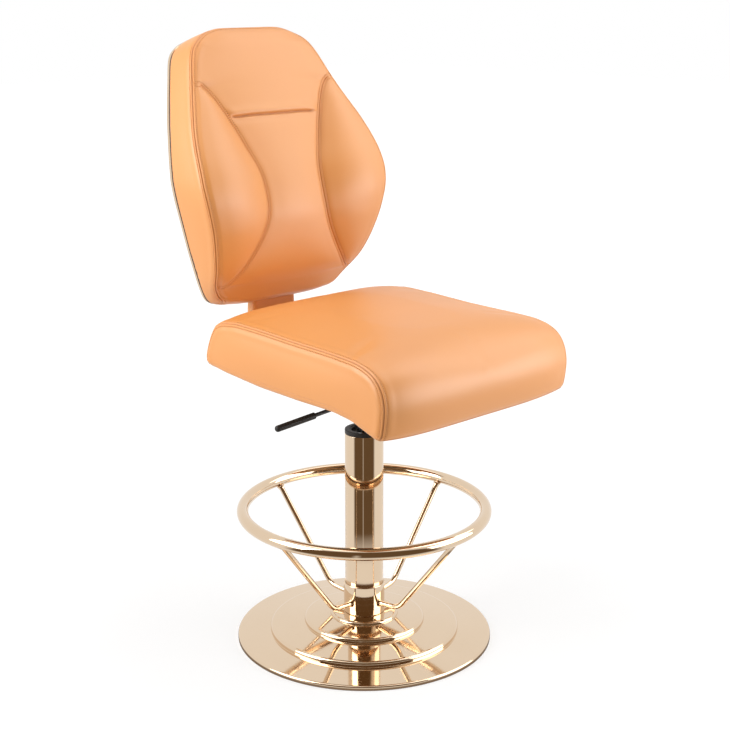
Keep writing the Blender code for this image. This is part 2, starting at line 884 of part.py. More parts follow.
def make_lift_foot(fixed, swivel):
    bore = rod_end_bore
    washer = tube_ring(bearing_radius, bore, bearing_washer_height)
    lower = turned("bearing_lower_washer", washer, round_steps, (0, 0, bearing_bottom), ring=True)
    upper = turned("bearing_upper_washer", washer, round_steps, (0, 0, upper_washer_bottom), ring=True)
    dress(lower, "bright_steel")
    dress(upper, "bright_steel")

    ball_circle = (bore + bearing_radius) / 2
    outer = ball_circle + bearing_ball_radius + bearing_cage_wall
    inner = ball_circle - bearing_ball_radius - bearing_cage_wall
    cage_ring = tube_ring(outer, inner, bearing_cage_height, -bearing_cage_height / 2)
    cage = turned("bearing_ball_cage", cage_ring, round_steps, (0, 0, ball_height), ring=True)
    bm = bmesh.new()
    for index in range(bearing_ball_count):
        angle = 2 * pi * index / bearing_ball_count
        place = Matrix.Translation((ball_circle * cos(angle), ball_circle * sin(angle), 0.0))
        bmesh.ops.create_icosphere(bm, subdivisions=1, radius=bearing_ball_radius, matrix=place)
    join(cage, add_mesh("balls_tool", bm, (0, 0, ball_height)))
    dress(cage, "bright_steel")

    groove_top = foot_plate_bottom
    groove_low = groove_top - clip_height - seat_gap * 2
    groove_radius = rod_end_radius - rod_groove_depth
    rod_low = groove_low - rod_end_below_clip
    profile = [
        (0.0, rod_top),
        (piston_radius, rod_top),
        (piston_radius, piston_bottom),
        (piston_rod_radius, piston_bottom),
        (piston_rod_radius, shoulder_top),
        (rod_shoulder_radius, shoulder_top),
        (rod_shoulder_radius, shoulder_bottom),
        (rod_end_radius, shoulder_bottom),
        (rod_end_radius, groove_top),
        (groove_radius, groove_top),
        (groove_radius, groove_low),
        (rod_end_radius, groove_low),
        (rod_end_radius, rod_low),
        (0.0, rod_low),
    ]
    piston_rod = dress(turned("piston_rod", profile, round_steps), "bright_steel")

    bumper_ring = tube_ring(bumper_radius, piston_rod_radius + seat_gap, bumper_height)
    bumper = turned("rod_bumper", bumper_ring, round_steps, (0, 0, bumper_bottom), ring=True)
    dress(bumper, "black_rubber")

    half = (2 * pi - clip_opening) / 2
    degrees_half = half * 180 / pi
    outline = arc((0.0, 0.0), clip_radius, -degrees_half, degrees_half, round_steps)
    outline += arc((0.0, 0.0), groove_radius + seat_gap, degrees_half, -degrees_half, round_steps)
    clip_middle = groove_top - seat_gap - clip_height / 2
    clip = dress(flat("retaining_clip", [outline], clip_height, (0, 0, clip_middle)), "dark_steel")
    carry(fixed, lower, cage)
    carry(swivel, upper, piston_rod, bumper, clip)


def lift_side(height):
    """Radius of the lift's pressure tube at a height, along its taper."""
    share = max(height - (lift_top - lift_taper_length), 0.0) / lift_taper_length
    return lift_radius + (lift_taper_radius - lift_radius) * share


def make_lift(seat_body, valve):
    well = valve_pin_radius + seat_gap
    well_low = lift_top - valve_well_depth
    profile = [
        (0.0, well_low),
        (well, well_low),
        (well, lift_top),
        (lift_taper_radius, lift_top),
        (lift_radius, lift_top - lift_taper_length),
        (lift_radius, lift_bottom),
        (gland_bore, lift_bottom),
        (gland_bore, gland_top),
        (lift_bore, gland_top),
        (lift_bore, lift_bore_top),
        (0.0, lift_bore_top),
    ]
    cylinder = dress(turned("lift_cylinder", profile, round_steps), "bright_steel")

    pin_low = valve_pin_top - valve_pin_length
    pin = turned("valve_pin", disc(valve_pin_radius, valve_pin_length), small_steps, (0, 0, pin_low))
    dress(pin, "bright_steel")

    profile = [
        (socket_radius, socket_top),
        (socket_radius, socket_bottom),
        (lift_side(socket_bottom) + seat_gap, socket_bottom),
        (lift_side(socket_top) + seat_gap, socket_top),
    ]
    socket = dress(turned("taper_socket", profile, round_steps, ring=True), "dark_steel")
    carry(seat_body, cylinder, socket)
    carry(valve, pin)


# Mechanism under the seat

def make_mechanism(seat_body):
    holes = [circle(x, y, bolt_radius + seat_gap) for x, y in plate_bolt_places() + bar_bolt_places()]
    outline = rounded_box(plate_width / 2, plate_depth / 2, plate_round)
    middle = (0, 0, (plate_top + plate_bottom) / 2)
    plate = dress(flat("mechanism_plate", [outline] + holes, plate_thickness, middle), "dark_steel")

    side = housing_width / 2 - housing_wall / 2
    low = housing_bottom + housing_wall / 2
    high = housing_top - housing_wall / 2
    section = [(-side - housing_flange, high), (-side, high), (-side, low)]
    section += [(-x, z) for x, z in reversed(section)]
    bm = bmesh.new()
    front = [bm.verts.new((x, -housing_front, z)) for x, z in section]
    rear = [bm.verts.new((x, housing_rear, z)) for x, z in section]
    for index in range(len(section) - 1):
        bm.faces.new((front[index], front[index + 1], rear[index + 1], rear[index]))
    housing = add_mesh("mechanism_housing", bm)
    wall = housing.modifiers.new("Wall", "SOLIDIFY")
    wall.thickness = housing_wall
    wall.offset = 0.0
    wall.use_even_offset = True

    lug_middle = lever_boss_length / 2 + running_gap + lever_lug_wall / 2
    for side_sign in (-1, 1):
        size = (lever_lug_width, lever_lug_wall, lever_lug_height)
        place = (lever_pivot.x, side_sign * lug_middle, low + lever_lug_height / 2)
        join(housing, block("lug_tool", size, place))
    pin_length = 2 * (lug_middle + lever_lug_wall)
    pin_hole = lever_pin_radius + seat_gap
    cut(housing, peg("pin_tool", pin_hole, pin_length, lever_pivot, turn=along_y()))
    socket_hole = socket_radius + seat_gap
    cut(housing, peg("socket_tool", socket_hole, housing_wall + overrun, (0, 0, low), round_steps))
    slot_size = (housing_wall + overrun, 2 * (lever_rod_radius + running_gap * 2), lever_slot_height)
    slot_place = (-side, 0.0, lever_height(-side))
    cut(housing, block("slot_tool", slot_size, slot_place))
    dress(housing, "dark_steel")

    pin = dress(
        peg("lever_pivot_pin", lever_pin_radius, pin_length, lever_pivot, turn=along_y()), "bright_steel"
    )

    shank = plate_thickness + seat_gap + seat_board_thickness - merge_distance
    places = [Matrix.Translation((x, y, plate_bottom - seat_gap)) for x, y in plate_bolt_places()]
    plate_bolts = copies("plate_bolt", hex_bolt(shank), places, "bright_steel")
    shank += bar_thickness + seat_gap
    under_bar = bar_under_plate - bar_thickness / 2 - seat_gap
    places = [Matrix.Translation((x, y, under_bar)) for x, y in bar_bolt_places()]
    bar_bolts = copies("bracket_seat_bolt", hex_bolt(shank), places, "bright_steel")
    carry(seat_body, plate, housing, pin, *plate_bolts, *bar_bolts)


def plate_bolt_places():
    return [(x * plate_bolt_x, y * plate_bolt_y) for x in (-1, 1) for y in (-1, 1)]


def bar_bolt_places():
    return [(-bar_bolt_x, bar_bolt_y), (bar_bolt_x, bar_bolt_y)]


def lever_height(x):
    """Height of the straight part of the lever at a place along X."""
    return lever_pivot.z + lever_slope * (x - lever_pivot.x)


def make_lever(lever):
    outwards = Vector((-1.0, 0.0, -lever_slope)).normalized()
    grip_start = Vector((-lever_reach, 0.0, lever_height(-lever_reach))) - outwards * grip_length
    rod_in_grip = grip_length - grip_end_wall - seat_gap
    rod_end = grip_start + outwards * rod_in_grip
    crank_x = lever_pivot.x + lever_crank_run
    path = rounded_path(
        (
            rod_end,
            lever_pivot,
            (crank_x, 0.0, lever_inner_height),
            (lever_inner_overhang, 0.0, lever_inner_height),
        ),
        lever_crank_run / 2,
        3,
    )
    arm = as_mesh(rod("lever_rod", path, lever_rod_radius))
    join(arm, peg("boss_tool", lever_boss_radius, lever_boss_length, lever_pivot, round_steps, along_y()))
    bore = lever_pin_radius + running_gap
    cut(arm, peg("bore_tool", bore, lever_boss_length + overrun, lever_pivot, turn=along_y()))
    dress(arm, "dark_steel")

    bore = lever_rod_radius + seat_gap
    dome = arc((0.0, grip_length - grip_radius), grip_radius, 90, 0, 4)
    profile = dome + [
        (grip_radius, 0.0),
        (bore, 0.0),
        (bore, grip_length - grip_end_wall),
        (0.0, grip_length - grip_end_wall),
    ]
    profile[0] = (0.0, grip_length)
    grip = dress(turned("lever_grip", profile, small_steps + 4, grip_start), "black_plastic")
    grip.rotation_euler = outwards.to_track_quat("Z", "Y").to_euler()
    carry(lever, arm, grip)


# Seat

def seat_line(shares):
    """Turns side-view shares into (place along Y, height)."""
    depth = seat_front + seat_rear
    return [(seat_rear - y * depth, seat_bottom + z * seat_side_height) for y, z in shares]


def seat_kick(y):
    """How far the underside has curved up at a place behind its flat middle."""
    share = max(y - seat_flat_end, 0.0) / (seat_rear - seat_flat_end)
    return seat_rear_kick * share ** 1.5


def seat_board_place(across, along, height, inset):
    rear = seat_rear - seat_board_setback - inset
    front = seat_nose_setback - seat_front + inset
    y = rear + (front - rear) * (along + 1) / 2
    corner = smooth_follow(((0.0, 0.93), (0.1, 1.0), (0.9, 1.0), (1.0, 0.95)), (along + 1) / 2)
    x = across * (seat_width / 2 - seat_board_inset - inset) * corner
    return Vector((x, y, height + seat_kick(y)))


def make_seat(seat_body):
    board = sheet(
        "seat_board",
        6,
        14,
        lambda across, along: seat_board_place(across, along, board_top, 0.0),
        seat_board_thickness,
        side=1.0,
    )
    for x, y in plate_bolt_places() + bar_bolt_places():
        cut(board, peg("board_hole", bolt_radius + seat_gap, board_bottom * 2, (x, y, board_bottom)))
    dress(board, "plywood")

    columns, rows, layers = 8, 10, 3
    top, under = seat_line(seat_top_shares), seat_line(seat_under_shares)
    rear, nose = seat_line(seat_rear_shares), seat_line(seat_nose_shares)
    bm = divided_block(columns, layers, rows)
    pull_edges(bm, seat_seam_edge, 0.70)
    pull_edges(bm, seat_hem_edge, 0.90)
    pull_edges(bm, seat_rear_edge, 0.60)
    for vert in bm.verts:
        row = round((1 - vert.co.y) * rows / 2)
        layer = round((vert.co.z + 1) * layers / 2)
        column = round(vert.co.x * columns / 2)
        across = seat_column_shares[abs(column)] * (1, -1)[column < 0]
        crown = seat_crown * (1 - abs(across) ** 3)
        if layer in (0, layers):
            y, z = (under, top)[layer == layers][row]
            z += crown * sin(pi * (0.12 + 0.76 * row / rows)) if layer else 0.0
        else:
            y, z = (rear, nose)[row == rows][layer] if row in (0, rows) else (0.0, 0.0)
        if row in (0, rows) and layer:
            y += (1, -1)[row == rows] * crown / 2
        if abs(across) == 1 and row not in (0, rows) and layer not in (0, layers):
            share = layer / layers
            y = under[row][0] + (top[row][0] - under[row][0]) * share
            z = under[row][1] + (top[row][1] - under[row][1]) * share
        x = across * seat_width / 2 * seat_plan_shares[row]
        if layer not in (0, layers):
            x -= across * seat_side_draw
        vert.co = (x, y, z)
    cushion = soften(add_mesh("seat_cushion", bm))
    pocket = sheet(
        "pocket_tool",
        6,
        14,
        lambda across, along: seat_board_place(across, along, board_top + seat_gap, -seat_gap),
        seat_board_thickness * 3,
        side=1.0,
    )
    cut(cushion, pocket)
    dress(cushion, "tan_leather")
    carry(seat_body, board, cushion)


def seat_seam_edge(first, second):
    """The seam along the top of a side panel and down its front."""
    same_side = abs(first.x) == 1 and first.x == second.x
    return same_side and ((first.z == 1 and second.z == 1) or (first.y == -1 and second.y == -1))


def seat_rear_edge(first, second):
    return abs(first.x) == 1 and first.x == second.x and first.y == 1 and second.y == 1


def seat_hem_edge(first, second):
    low = first.z == -1 and second.z == -1
    side = abs(first.x) == 1 and first.x == second.x
    return low and (side or (abs(first.y) == 1 and first.y == second.y))


# Bracket between seat and back

def make_bracket(seat_body):
    path = rounded_path(
        (
            (0.0, bar_start, bar_under_plate),
            (0.0, bar_centre, bar_under_plate),
            (0.0, bar_centre, back_bottom + bar_top_height),
        ),
        bar_bend,
        6,
    )
    bm = bmesh.new()
    left = [bm.verts.new((-bar_width / 2, point.y, point.z)) for point in path]
    right = [bm.verts.new((bar_width / 2, point.y, point.z)) for point in path]
    for index in range(len(path) - 1):
        bm.faces.new((left[index], right[index], right[index + 1], left[index + 1]))
    bar = add_mesh("back_bracket", bm)
    wall = bar.modifiers.new("Wall", "SOLIDIFY")
    wall.thickness = bar_thickness
    wall.offset = 0.0
    wall.use_even_offset = True
    hole = bolt_radius + seat_gap
    for x, y in bar_bolt_places():
        cut(bar, peg("bar_hole", hole, bar_thickness + overrun, (x, y, bar_under_plate)))
    for x, z in back_bolt_places():
        cut(bar, peg("bar_hole", hole, bar_thickness + overrun, (x, bar_centre, z), turn=along_y()))
    dress(bar, "dark_steel")

    shank = bar_thickness + seat_gap + back_board_thickness - merge_distance
    places = [Matrix.Translation((x, bar_rear + seat_gap, z)) @ along_y() for x, z in back_bolt_places()]
    bolts = copies("bracket_back_bolt", hex_bolt(shank), places, "bright_steel")

    half_x = bar_width / 2 + sleeve_side
    front = bar_front - sleeve_front
    rear = bar_rear + sleeve_rear
    outline = rounded_box(half_x, (rear - front) / 2, sleeve_round, (rear + front) / 2)
    hole = rounded_box(
        bar_width / 2 + running_gap, bar_thickness / 2 + running_gap, running_gap, bar_centre, 1
    )
    middle = (0, 0, back_bottom - running_gap - sleeve_length / 2)
    sleeve = dress(flat("bracket_sleeve", [outline, hole], sleeve_length, middle), "tan_leather")
    carry(seat_body, bar, sleeve, *bolts)


def back_bolt_places():
    heights = (back_bottom + bar_hole_low, back_bottom + bar_hole_high)
    return [(x, z) for x in (-bar_bolt_x, bar_bolt_x) for z in heights]


# Back

def rear_line(height):
    """How far back the rear face has leaned at a height above the back's bottom edge."""
    over = max(height - back_bend_start, 0.0)
    if over < back_bend_length:
        return back_lean * over ** 2 / (2 * back_bend_length)
    return back_lean * (over - back_bend_length / 2)


def rear_slope(height):
    over = max(height - back_bend_start, 0.0)
    return back_lean * min(over / back_bend_length, 1.0)


def back_place(across, share, depth, inset=0.0):
    """A point of the back: share of the half width, share of the height, depth in front of its rear."""
    half = back_width / 2 * smooth_follow(back_outline_shares, share) - inset
    height = inset + share * (back_height - 2 * inset)
    return Vector((across * half, back_rear + rear_line(height) - depth, back_bottom + height))


def outline_row(along):
    """The height share of a grid row that lies on one of the outline's own points."""
    last = len(back_outline_shares) - 1
    return back_outline_shares[round((along + 1) * last / 2)][0]


def back_sheet(name, front_depth, thickness, inset):
    rows = len(back_outline_shares) - 1
    return sheet(
        name,
        6,
        rows,
        lambda across, along: back_place(across, outline_row(along), front_depth, inset),
        thickness,
    )


def shell_behind(across, share):
    bulge = shell_bulge * (1 - across ** 2) * (1 - (2 * share - 1) ** 2)
    return lip_behind + shell_depth + bulge


def make_back(seat_body):
    front_depth = board_rear_inset + back_board_thickness
    board = back_sheet("back_board", front_depth, back_board_thickness, back_board_inset)
    hole = bolt_radius + seat_gap
    for x, z in back_bolt_places():
        cut(board, peg("back_hole", hole, front_depth * 4, (x, back_rear, z), turn=along_y()))

    cushion = make_back_cushion(front_depth)
    trim = make_trim()
    shell = make_shell()
    screws = make_shell_fixings(board, shell)
    dress(board, "plywood")
    dress(shell, "champagne_metal")
    carry(seat_body, board, cushion, trim, shell, *screws)


def make_back_cushion(front_depth):
    columns, layers = 8, 2
    rows = len(back_row_shares) - 1
    bm = divided_block(columns, rows, layers)
    pull_edges(bm, back_seam_edge, 0.60)
    pull_edges(bm, back_rim_edge, 0.95)
    for vert in bm.verts:
        share = back_row_shares[round((vert.co.z + 1) * rows / 2)]
        column = round(vert.co.x * columns / 2)
        inner = smooth_follow(inner_seam_shares, share)
        across = (0.0, inner / 2, inner, (1 + inner) / 2, 1.0)[abs(column)]
        gusset = smooth_follow(gusset_shares, share) * back_cushion_depth
        panel = smooth_follow(panel_shares, share) * back_cushion_depth
        depths = (
            panel + back_crown,
            panel + back_crown * 3 / 4,
            panel - seam_channel,
            max(gusset, panel) + bolster_crest,
            gusset,
        )
        depth = depths[abs(column)]
        if share == tuck_row_share and abs(column) < 2:
            depth -= tuck_depth
        forward = (1 - vert.co.y) / 2
        depth = back_rim_inset + (depth - back_rim_inset) * forward
        place = back_place(across * (1, -1)[column < 0], share, depth)
        over = max(share - back_top_rise_start_share, 0.0) / (1 - back_top_rise_start_share)
        place.z += back_top_rise * forward * over
        place.x *= 1 + back_top_flare * forward * over
        if vert.co.y == 0:
            place.x -= (column / 4) * back_side_draw
        vert.co = place
    cushion = soften(add_mesh("back_cushion", bm))
    pocket = back_sheet(
        "pocket_tool", front_depth + seat_gap, front_depth * 3, back_board_inset - seat_gap
    )
    cut(cushion, pocket)
    return dress(cushion, "tan_leather")


def back_seam_edge(first, second):
    return abs(first.x) == 1 and first.x == second.x and first.y == -1 and second.y == -1


def back_rim_edge(first, second):
    rear = first.y == 1 and second.y == 1
    side = abs(first.x) == 1 and first.x == second.x
    return rear and (side or (abs(first.z) == 1 and first.z == second.z))


def make_trim():
    """The bead between leather and shell, open where the bracket enters."""
    start_x = bar_width / 2 + sleeve_side + trim_radius
    right = []
    for row in back_outline_shares:
        right.append(back_place(1.0, row[0], -trim_behind, trim_inset))
    start = Vector((start_x, right[0].y, right[0].z))
    loop = [start] + right
    loop += [Vector((-point.x, point.y, point.z)) for point in reversed(loop)]
    return dress(rod("back_trim", loop, trim_radius, resolution=1), "brown_trim")


def make_shell():
    rows = len(back_outline_shares) - 1
    bm = bmesh.new()
    bmesh.ops.create_grid(bm, x_segments=6, y_segments=rows, size=1.0)
    for vert in bm.verts:
        share = outline_row(vert.co.y)
        across = -vert.co.x
        vert.co = back_place(across, share, -shell_behind(across, share))
    border = [edge for edge in bm.edges if edge.is_boundary]
    walls = bmesh.ops.extrude_edge_only(bm, edges=border)["geom"]
    lip = [item for item in walls if isinstance(item, bmesh.types.BMVert)]
    bmesh.ops.translate(bm, vec=(0.0, -shell_depth, 0.0), verts=lip)
    bmesh.ops.recalc_face_normals(bm, faces=bm.faces)
    if next(face for face in bm.faces if abs(face.normal.y) > 0.7).normal.y < 0:
        bmesh.ops.reverse_faces(bm, faces=bm.faces)
    shell = add_mesh("back_shell", bm)
    edges = shell.modifiers.new("Edges", "BEVEL")
    edges.width = shell_edge_round
    edges.segments = 2
    edges.limit_method = "ANGLE"
    edges.angle_limit = radians(50)
    wall = shell.modifiers.new("Wall", "SOLIDIFY")
    wall.thickness = shell_wall
    wall.offset = -1.0
    slot = (bar_width + 2 * shell_slot_margin, bar_thickness * 2, shell_edge_round * 2)
    place = (0.0, bar_rear + shell_slot_margin - bar_thickness, back_bottom)
    cut(shell, block("slot_tool", slot, place))
    return shell


def make_shell_fixings(board, shell):
    """Bosses inside the shell and screws through them, each square to the rear face."""
    places = []
    for across, share in shell_screw_shares:
        lean = atan(rear_slope(share * back_height))
        facing = Matrix.Translation(back_place(across, share, 0.0))
        facing = facing @ Matrix.Rotation(-pi / 2 - lean, 4, "X")
        behind = shell_behind(across, share)
        board_rear = back_board_thickness - (board_rear_inset + back_board_thickness) * cos(lean)
        start = board_rear + seat_gap
        end = behind * cos(lean) - shell_wall / 2
        boss = peg("boss_tool", shell_boss_radius, end - start, (0, 0, 0))
        boss.matrix_world = facing @ Matrix.Translation((0, 0, (start + end) / 2))
        join(shell, boss)
        hole = peg("hole_tool", shell_screw_radius + seat_gap, behind * 4, (0, 0, 0))
        hole.matrix_world = facing
        cut(shell, hole)
        cut(board, hole)
        places.append(facing @ Matrix.Translation((0, 0, behind * cos(lean) + shell_screw_head_gap)))
    shank = behind + shell_screw_head_gap + board_rear_inset + back_board_thickness / 2
    profile = [
        (0.0, shell_screw_head_height),
        (shell_screw_head_radius / 2, shell_screw_head_height),
        (shell_screw_head_radius, shell_screw_head_height / 3),
        (shell_screw_head_radius, 0.0),
        (shell_screw_radius, 0.0),
        (shell_screw_radius, -shank),
        (0.0, -shank),
    ]
    pattern = mesh_of(turned("screw", profile, small_steps))
    return copies("shell_screw", pattern, places, "bright_steel")


# The whole chair

def make_chair():
    fixed = empty("base_frame", (0, 0, 0))
    swivel = empty("swivel_axis", (0, 0, bearing_bottom), fixed)
    seat_body = empty("lift_axis", (0, 0, lift_bottom), swivel)
    lever = empty("lever_axis", lever_pivot, seat_body)
    valve = empty("valve_axis", (0, 0, valve_pin_top), seat_body)
    make_base(fixed)
    make_column(fixed)
    make_foot_ring(fixed)
    make_lift_foot(fixed, swivel)
    make_lift(seat_body, valve)
    make_mechanism(seat_body)
    make_lever(lever)
    make_seat(seat_body)
    make_bracket(seat_body)
    make_back(seat_body)


make_chair()
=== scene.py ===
# %% [markdown]
# # A poker chair, piece by piece
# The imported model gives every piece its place, and this script gives the chair its looks.
# We load that model first. Its nodes stay where they are, so each new piece is made at
# the place of the node that it stands for.

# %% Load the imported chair
import json
from math import cos, pi, radians, sin, sqrt

import bmesh
import bpy
import numpy as np
from mathutils import Matrix, Vector


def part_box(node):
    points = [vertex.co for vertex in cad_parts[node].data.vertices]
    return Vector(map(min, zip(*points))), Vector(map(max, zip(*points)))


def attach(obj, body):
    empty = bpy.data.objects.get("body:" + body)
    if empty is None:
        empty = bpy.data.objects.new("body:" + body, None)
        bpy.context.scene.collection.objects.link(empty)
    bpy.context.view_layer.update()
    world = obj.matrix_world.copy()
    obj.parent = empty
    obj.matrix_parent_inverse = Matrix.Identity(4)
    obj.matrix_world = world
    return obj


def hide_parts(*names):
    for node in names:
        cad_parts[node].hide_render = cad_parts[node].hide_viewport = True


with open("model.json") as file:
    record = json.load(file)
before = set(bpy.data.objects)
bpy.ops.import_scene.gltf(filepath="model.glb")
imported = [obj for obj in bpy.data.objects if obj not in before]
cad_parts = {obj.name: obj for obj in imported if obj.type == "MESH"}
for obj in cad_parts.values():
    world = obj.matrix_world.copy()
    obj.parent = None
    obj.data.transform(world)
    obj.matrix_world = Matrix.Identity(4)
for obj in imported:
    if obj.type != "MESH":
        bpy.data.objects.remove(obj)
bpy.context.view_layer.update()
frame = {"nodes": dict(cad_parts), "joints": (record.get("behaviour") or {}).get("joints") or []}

# %% [markdown]
# ## The camera
# The photographer stood about 2.7 m away, at the chair's front right corner, and looked
# slightly down. A long lens keeps the verticals nearly straight, as in the photograph.

# %% Camera
camera_distance = 2.6782
camera_height = 1.2800
camera_turn = radians(-43.7)
camera_pitch = 0.2630
camera_yaw = 0.0006
lens_mm = 71.1

camera = bpy.data.objects.new("camera", bpy.data.cameras.new("camera"))
camera.data.lens = lens_mm
camera.data.sensor_width = 36
camera.data.clip_end = 50
camera.location = (camera_distance * sin(camera_turn), -camera_distance * cos(camera_turn), camera_height)
camera.rotation_euler = (pi / 2 - camera_pitch, 0.0, camera_turn - camera_yaw)
bpy.context.scene.collection.objects.link(camera)
bpy.context.scene.camera = camera
print("camera at", [round(value, 3) for value in camera.location])

# %% [markdown]
# ## Writing node trees as Python
# A node tree soon fills with Math nodes. A small class that wraps a socket lets us write
# `1 - mask * 0.5` instead: each operator adds one Math node. Every other node comes from
# one method that takes its type, its settings and its sockets' values.

# %% Node helpers
class Value:
    """A number socket. Each operator adds one Math node."""

    def __init__(self, maker, socket):
        self.maker = maker
        self.socket = socket

    def maths(self, operation, *others):
        return self.maker.value("ShaderNodeMath", 0, {"operation": operation}, self, *others)

    def __add__(self, other):
        return self.maths("ADD", other)

    def __sub__(self, other):
        return self.maths("SUBTRACT", other)

    def __rsub__(self, other):
        return self.maths("MULTIPLY_ADD", -1.0, other)

    def __mul__(self, other):
        return self.maths("MULTIPLY", other)

    def __truediv__(self, other):
        return self.maths("DIVIDE", other)

    __radd__, __rmul__ = __add__, __mul__

    def clamped(self):
        made = self + 0.0
        made.socket.node.use_clamp = True
        return made

    def rising(self, start, width):
        """0 up to the start, 1 from a width beyond it, and an even rise in between."""
        return ((self - start) / width).clamped()


class Tree:
    """Adds nodes to one node tree."""

    def __init__(self, tree):
        self.tree = tree

    def node(self, kind, settings=None, *values, **named):
        """Makes a node. values feed its sockets in order, named ones by name with _ for a space."""
        made = self.tree.nodes.new(kind)
        for key, value in (settings or {}).items():
            setattr(made, key, value)
        for index, value in enumerate(values):
            self.feed(made.inputs[index], value)
        for key, value in named.items():
            self.feed(made.inputs[key.replace("_", " ")], value)
        return made

    def value(self, kind, output, settings=None, *values, **named):
        return Value(self, self.node(kind, settings, *values, **named).outputs[output])

    def feed(self, socket, value):
        """Links a Value or another socket to this one, or sets its constant."""
        if isinstance(value, Value):
            value = value.socket
        if isinstance(value, bpy.types.NodeSocket):
            self.tree.links.new(value, socket)
        elif isinstance(value, tuple) and len(value) == 3 and len(socket.default_value) == 4:
            socket.default_value = (*value, 1.0)
        else:
            socket.default_value = value

    def mix(self, factor, first, second):
        made = self.node("ShaderNodeMix", {"data_type": "RGBA"})
        for index, value in ((0, factor), (6, first), (7, second)):
            self.feed(made.inputs[index], value)
        return made.outputs[2]


class Finish(Tree):
    """A material with one Principled BSDF. slot, the record's name for what it is made of, is not used."""

    def __init__(self, name, slot, **sockets):
        self.material = bpy.data.materials.new(name)
        self.material.use_nodes = True
        super().__init__(self.material.node_tree)
        self.surface = self.tree.nodes["Principled BSDF"]
        self.set(**sockets)

    def set(self, **sockets):
        for name, value in sockets.items():
            self.feed(self.surface.inputs[name.replace("_", " ")], value)

    def place(self):
        return self.node("ShaderNodeTexCoord").outputs["Object"]

    def axes(self):
        parts = self.node("ShaderNodeSeparateXYZ", None, self.place()).outputs
        return [Value(self, part) for part in parts]

    def noise(self, scale, detail=2.0, roughness=0.5, stretch=None, vector=None):
        vector = vector or self.place()
        if stretch:
            vector = self.node("ShaderNodeMapping", None, Vector=vector, Scale=stretch).outputs[0]
        settings = {"Vector": vector, "Scale": scale, "Detail": detail, "Roughness": roughness}
        return self.value("ShaderNodeTexNoise", 0, None, **settings)

    def bump(self, height, strength, distance):
        made = self.node("ShaderNodeBump", None, Strength=strength, Distance=distance, Height=height)
        self.set(Normal=made.outputs[0])


print("node helpers ready")

# %% [markdown]
# ## Polished champagne metal
# The base, column, foot ring and back shell are steel, plated and polished to a pale gold.
# Plating is never a perfect mirror: polishing leaves fine lines round a turned piece, and
# handling leaves faint smears. Roughness carries the smears, and a shallow bump the lines.

# %% Champagne metal, three degrees of polish
def champagne_metal(name, line_scale, roughness):
    finish = Finish(name, "champagne_metal", Metallic=1.0)
    x, y, z = finish.axes()
    radius = (x * x + y * y).maths("POWER", 0.5)
    across = finish.node("ShaderNodeCombineXYZ", None, radius, z, 0.0).outputs[0]
    lines = finish.noise(line_scale, 3.0, 0.6, vector=across)
    smears = finish.noise(9.0, 4.0, 0.6)
    shine = (roughness * 0.7 + smears * roughness * 0.5 + lines * roughness * 0.2).clamped()
    finish.set(Base_Color=finish.mix(smears, (0.725, 0.56, 0.395), (0.77, 0.605, 0.44)), Roughness=shine)
    finish.bump(lines, 0.35, 0.00001)
    return finish.material


polished_round = champagne_metal("polished_round", 900.0, 0.05)
spun_disc = champagne_metal("spun_disc", 1400.0, 0.06)
polished_shell = champagne_metal("polished_shell", 300.0, 0.15)
print("champagne metal ready")

# %% [markdown]
# ## The hidden and working metals
# The lift is polished chrome, its rod ground bright steel. The mechanism is pressed steel
# under black paint with a fine orange-peel surface, and the ballast is rough cast iron.
# One function makes all of them: a noise shades the colour and the shine, and a finer one,
# or else the same, gives the relief.

# %% Steel, chrome, paint and iron
def plain_finish(name, slot, dark, light, shine, grain, relief=None, fine_grain=None, **constants):
    """shine is (roughness, change), a grain is a noise's values, relief is (strength, distance)."""
    finish = Finish(name, slot, **constants)
    shade = finish.noise(*grain)
    finish.set(Base_Color=finish.mix(shade, dark, light))
    if shine:
        finish.set(Roughness=shine[0] + shade * shine[1])
    if relief:
        finish.bump(finish.noise(*fine_grain) if fine_grain else shade, *relief)
    return finish.material


steel = plain_finish(
    "bright_steel", "bright_steel", (0.55, 0.55, 0.56), (0.68, 0.68, 0.69), (0.14, 0.16),
    grain=(420.0, 2.0, 0.5, (6.0, 6.0, 1.0)), relief=(0.2, 0.00002), Metallic=1.0,
)
chrome = plain_finish(
    "polished_chrome", "bright_steel", (0.55, 0.55, 0.56), (0.64, 0.64, 0.65), (0.16, 0.10),
    grain=(24.0, 3.0, 0.6), Metallic=1.0,
)
paint = plain_finish(
    "black_paint", "dark_steel", (0.016, 0.016, 0.017), (0.034, 0.033, 0.032), (0.30, 0.22),
    grain=(14.0, 5.0, 0.65), relief=(0.25, 0.0001), fine_grain=(700.0, 2.0, 0.5),
)
iron = plain_finish(
    "cast_iron", None, (0.035, 0.034, 0.034), (0.095, 0.090, 0.086), (0.62, 0.25),
    grain=(260.0, 5.0, 0.7), relief=(0.6, 0.0006), Metallic=0.4,
)
print("working metals ready")

# %% [markdown]
# ## Plastic, rubber and plywood
# Moulded plastic has a fine spark-eroded texture that scatters its shine. Rubber is duller
# still. Plywood shows long veneer figure along its face, so its noise is stretched.

# %% Plastic, rubber, plywood
plastic = plain_finish(
    "black_plastic", "black_plastic", (0.016, 0.014, 0.013), (0.032, 0.029, 0.027), (0.34, 0.20),
    grain=(30.0, 3.0, 0.6), relief=(0.35, 0.00008), fine_grain=(1500.0, 2.0, 0.6), Specular_IOR_Level=0.28,
)
rubber = plain_finish(
    "black_rubber", "black_rubber", (0.012, 0.012, 0.012), (0.028, 0.027, 0.026), (0.70, 0.18),
    grain=(600.0, 3.0, 0.6), relief=(0.4, 0.0002),
)


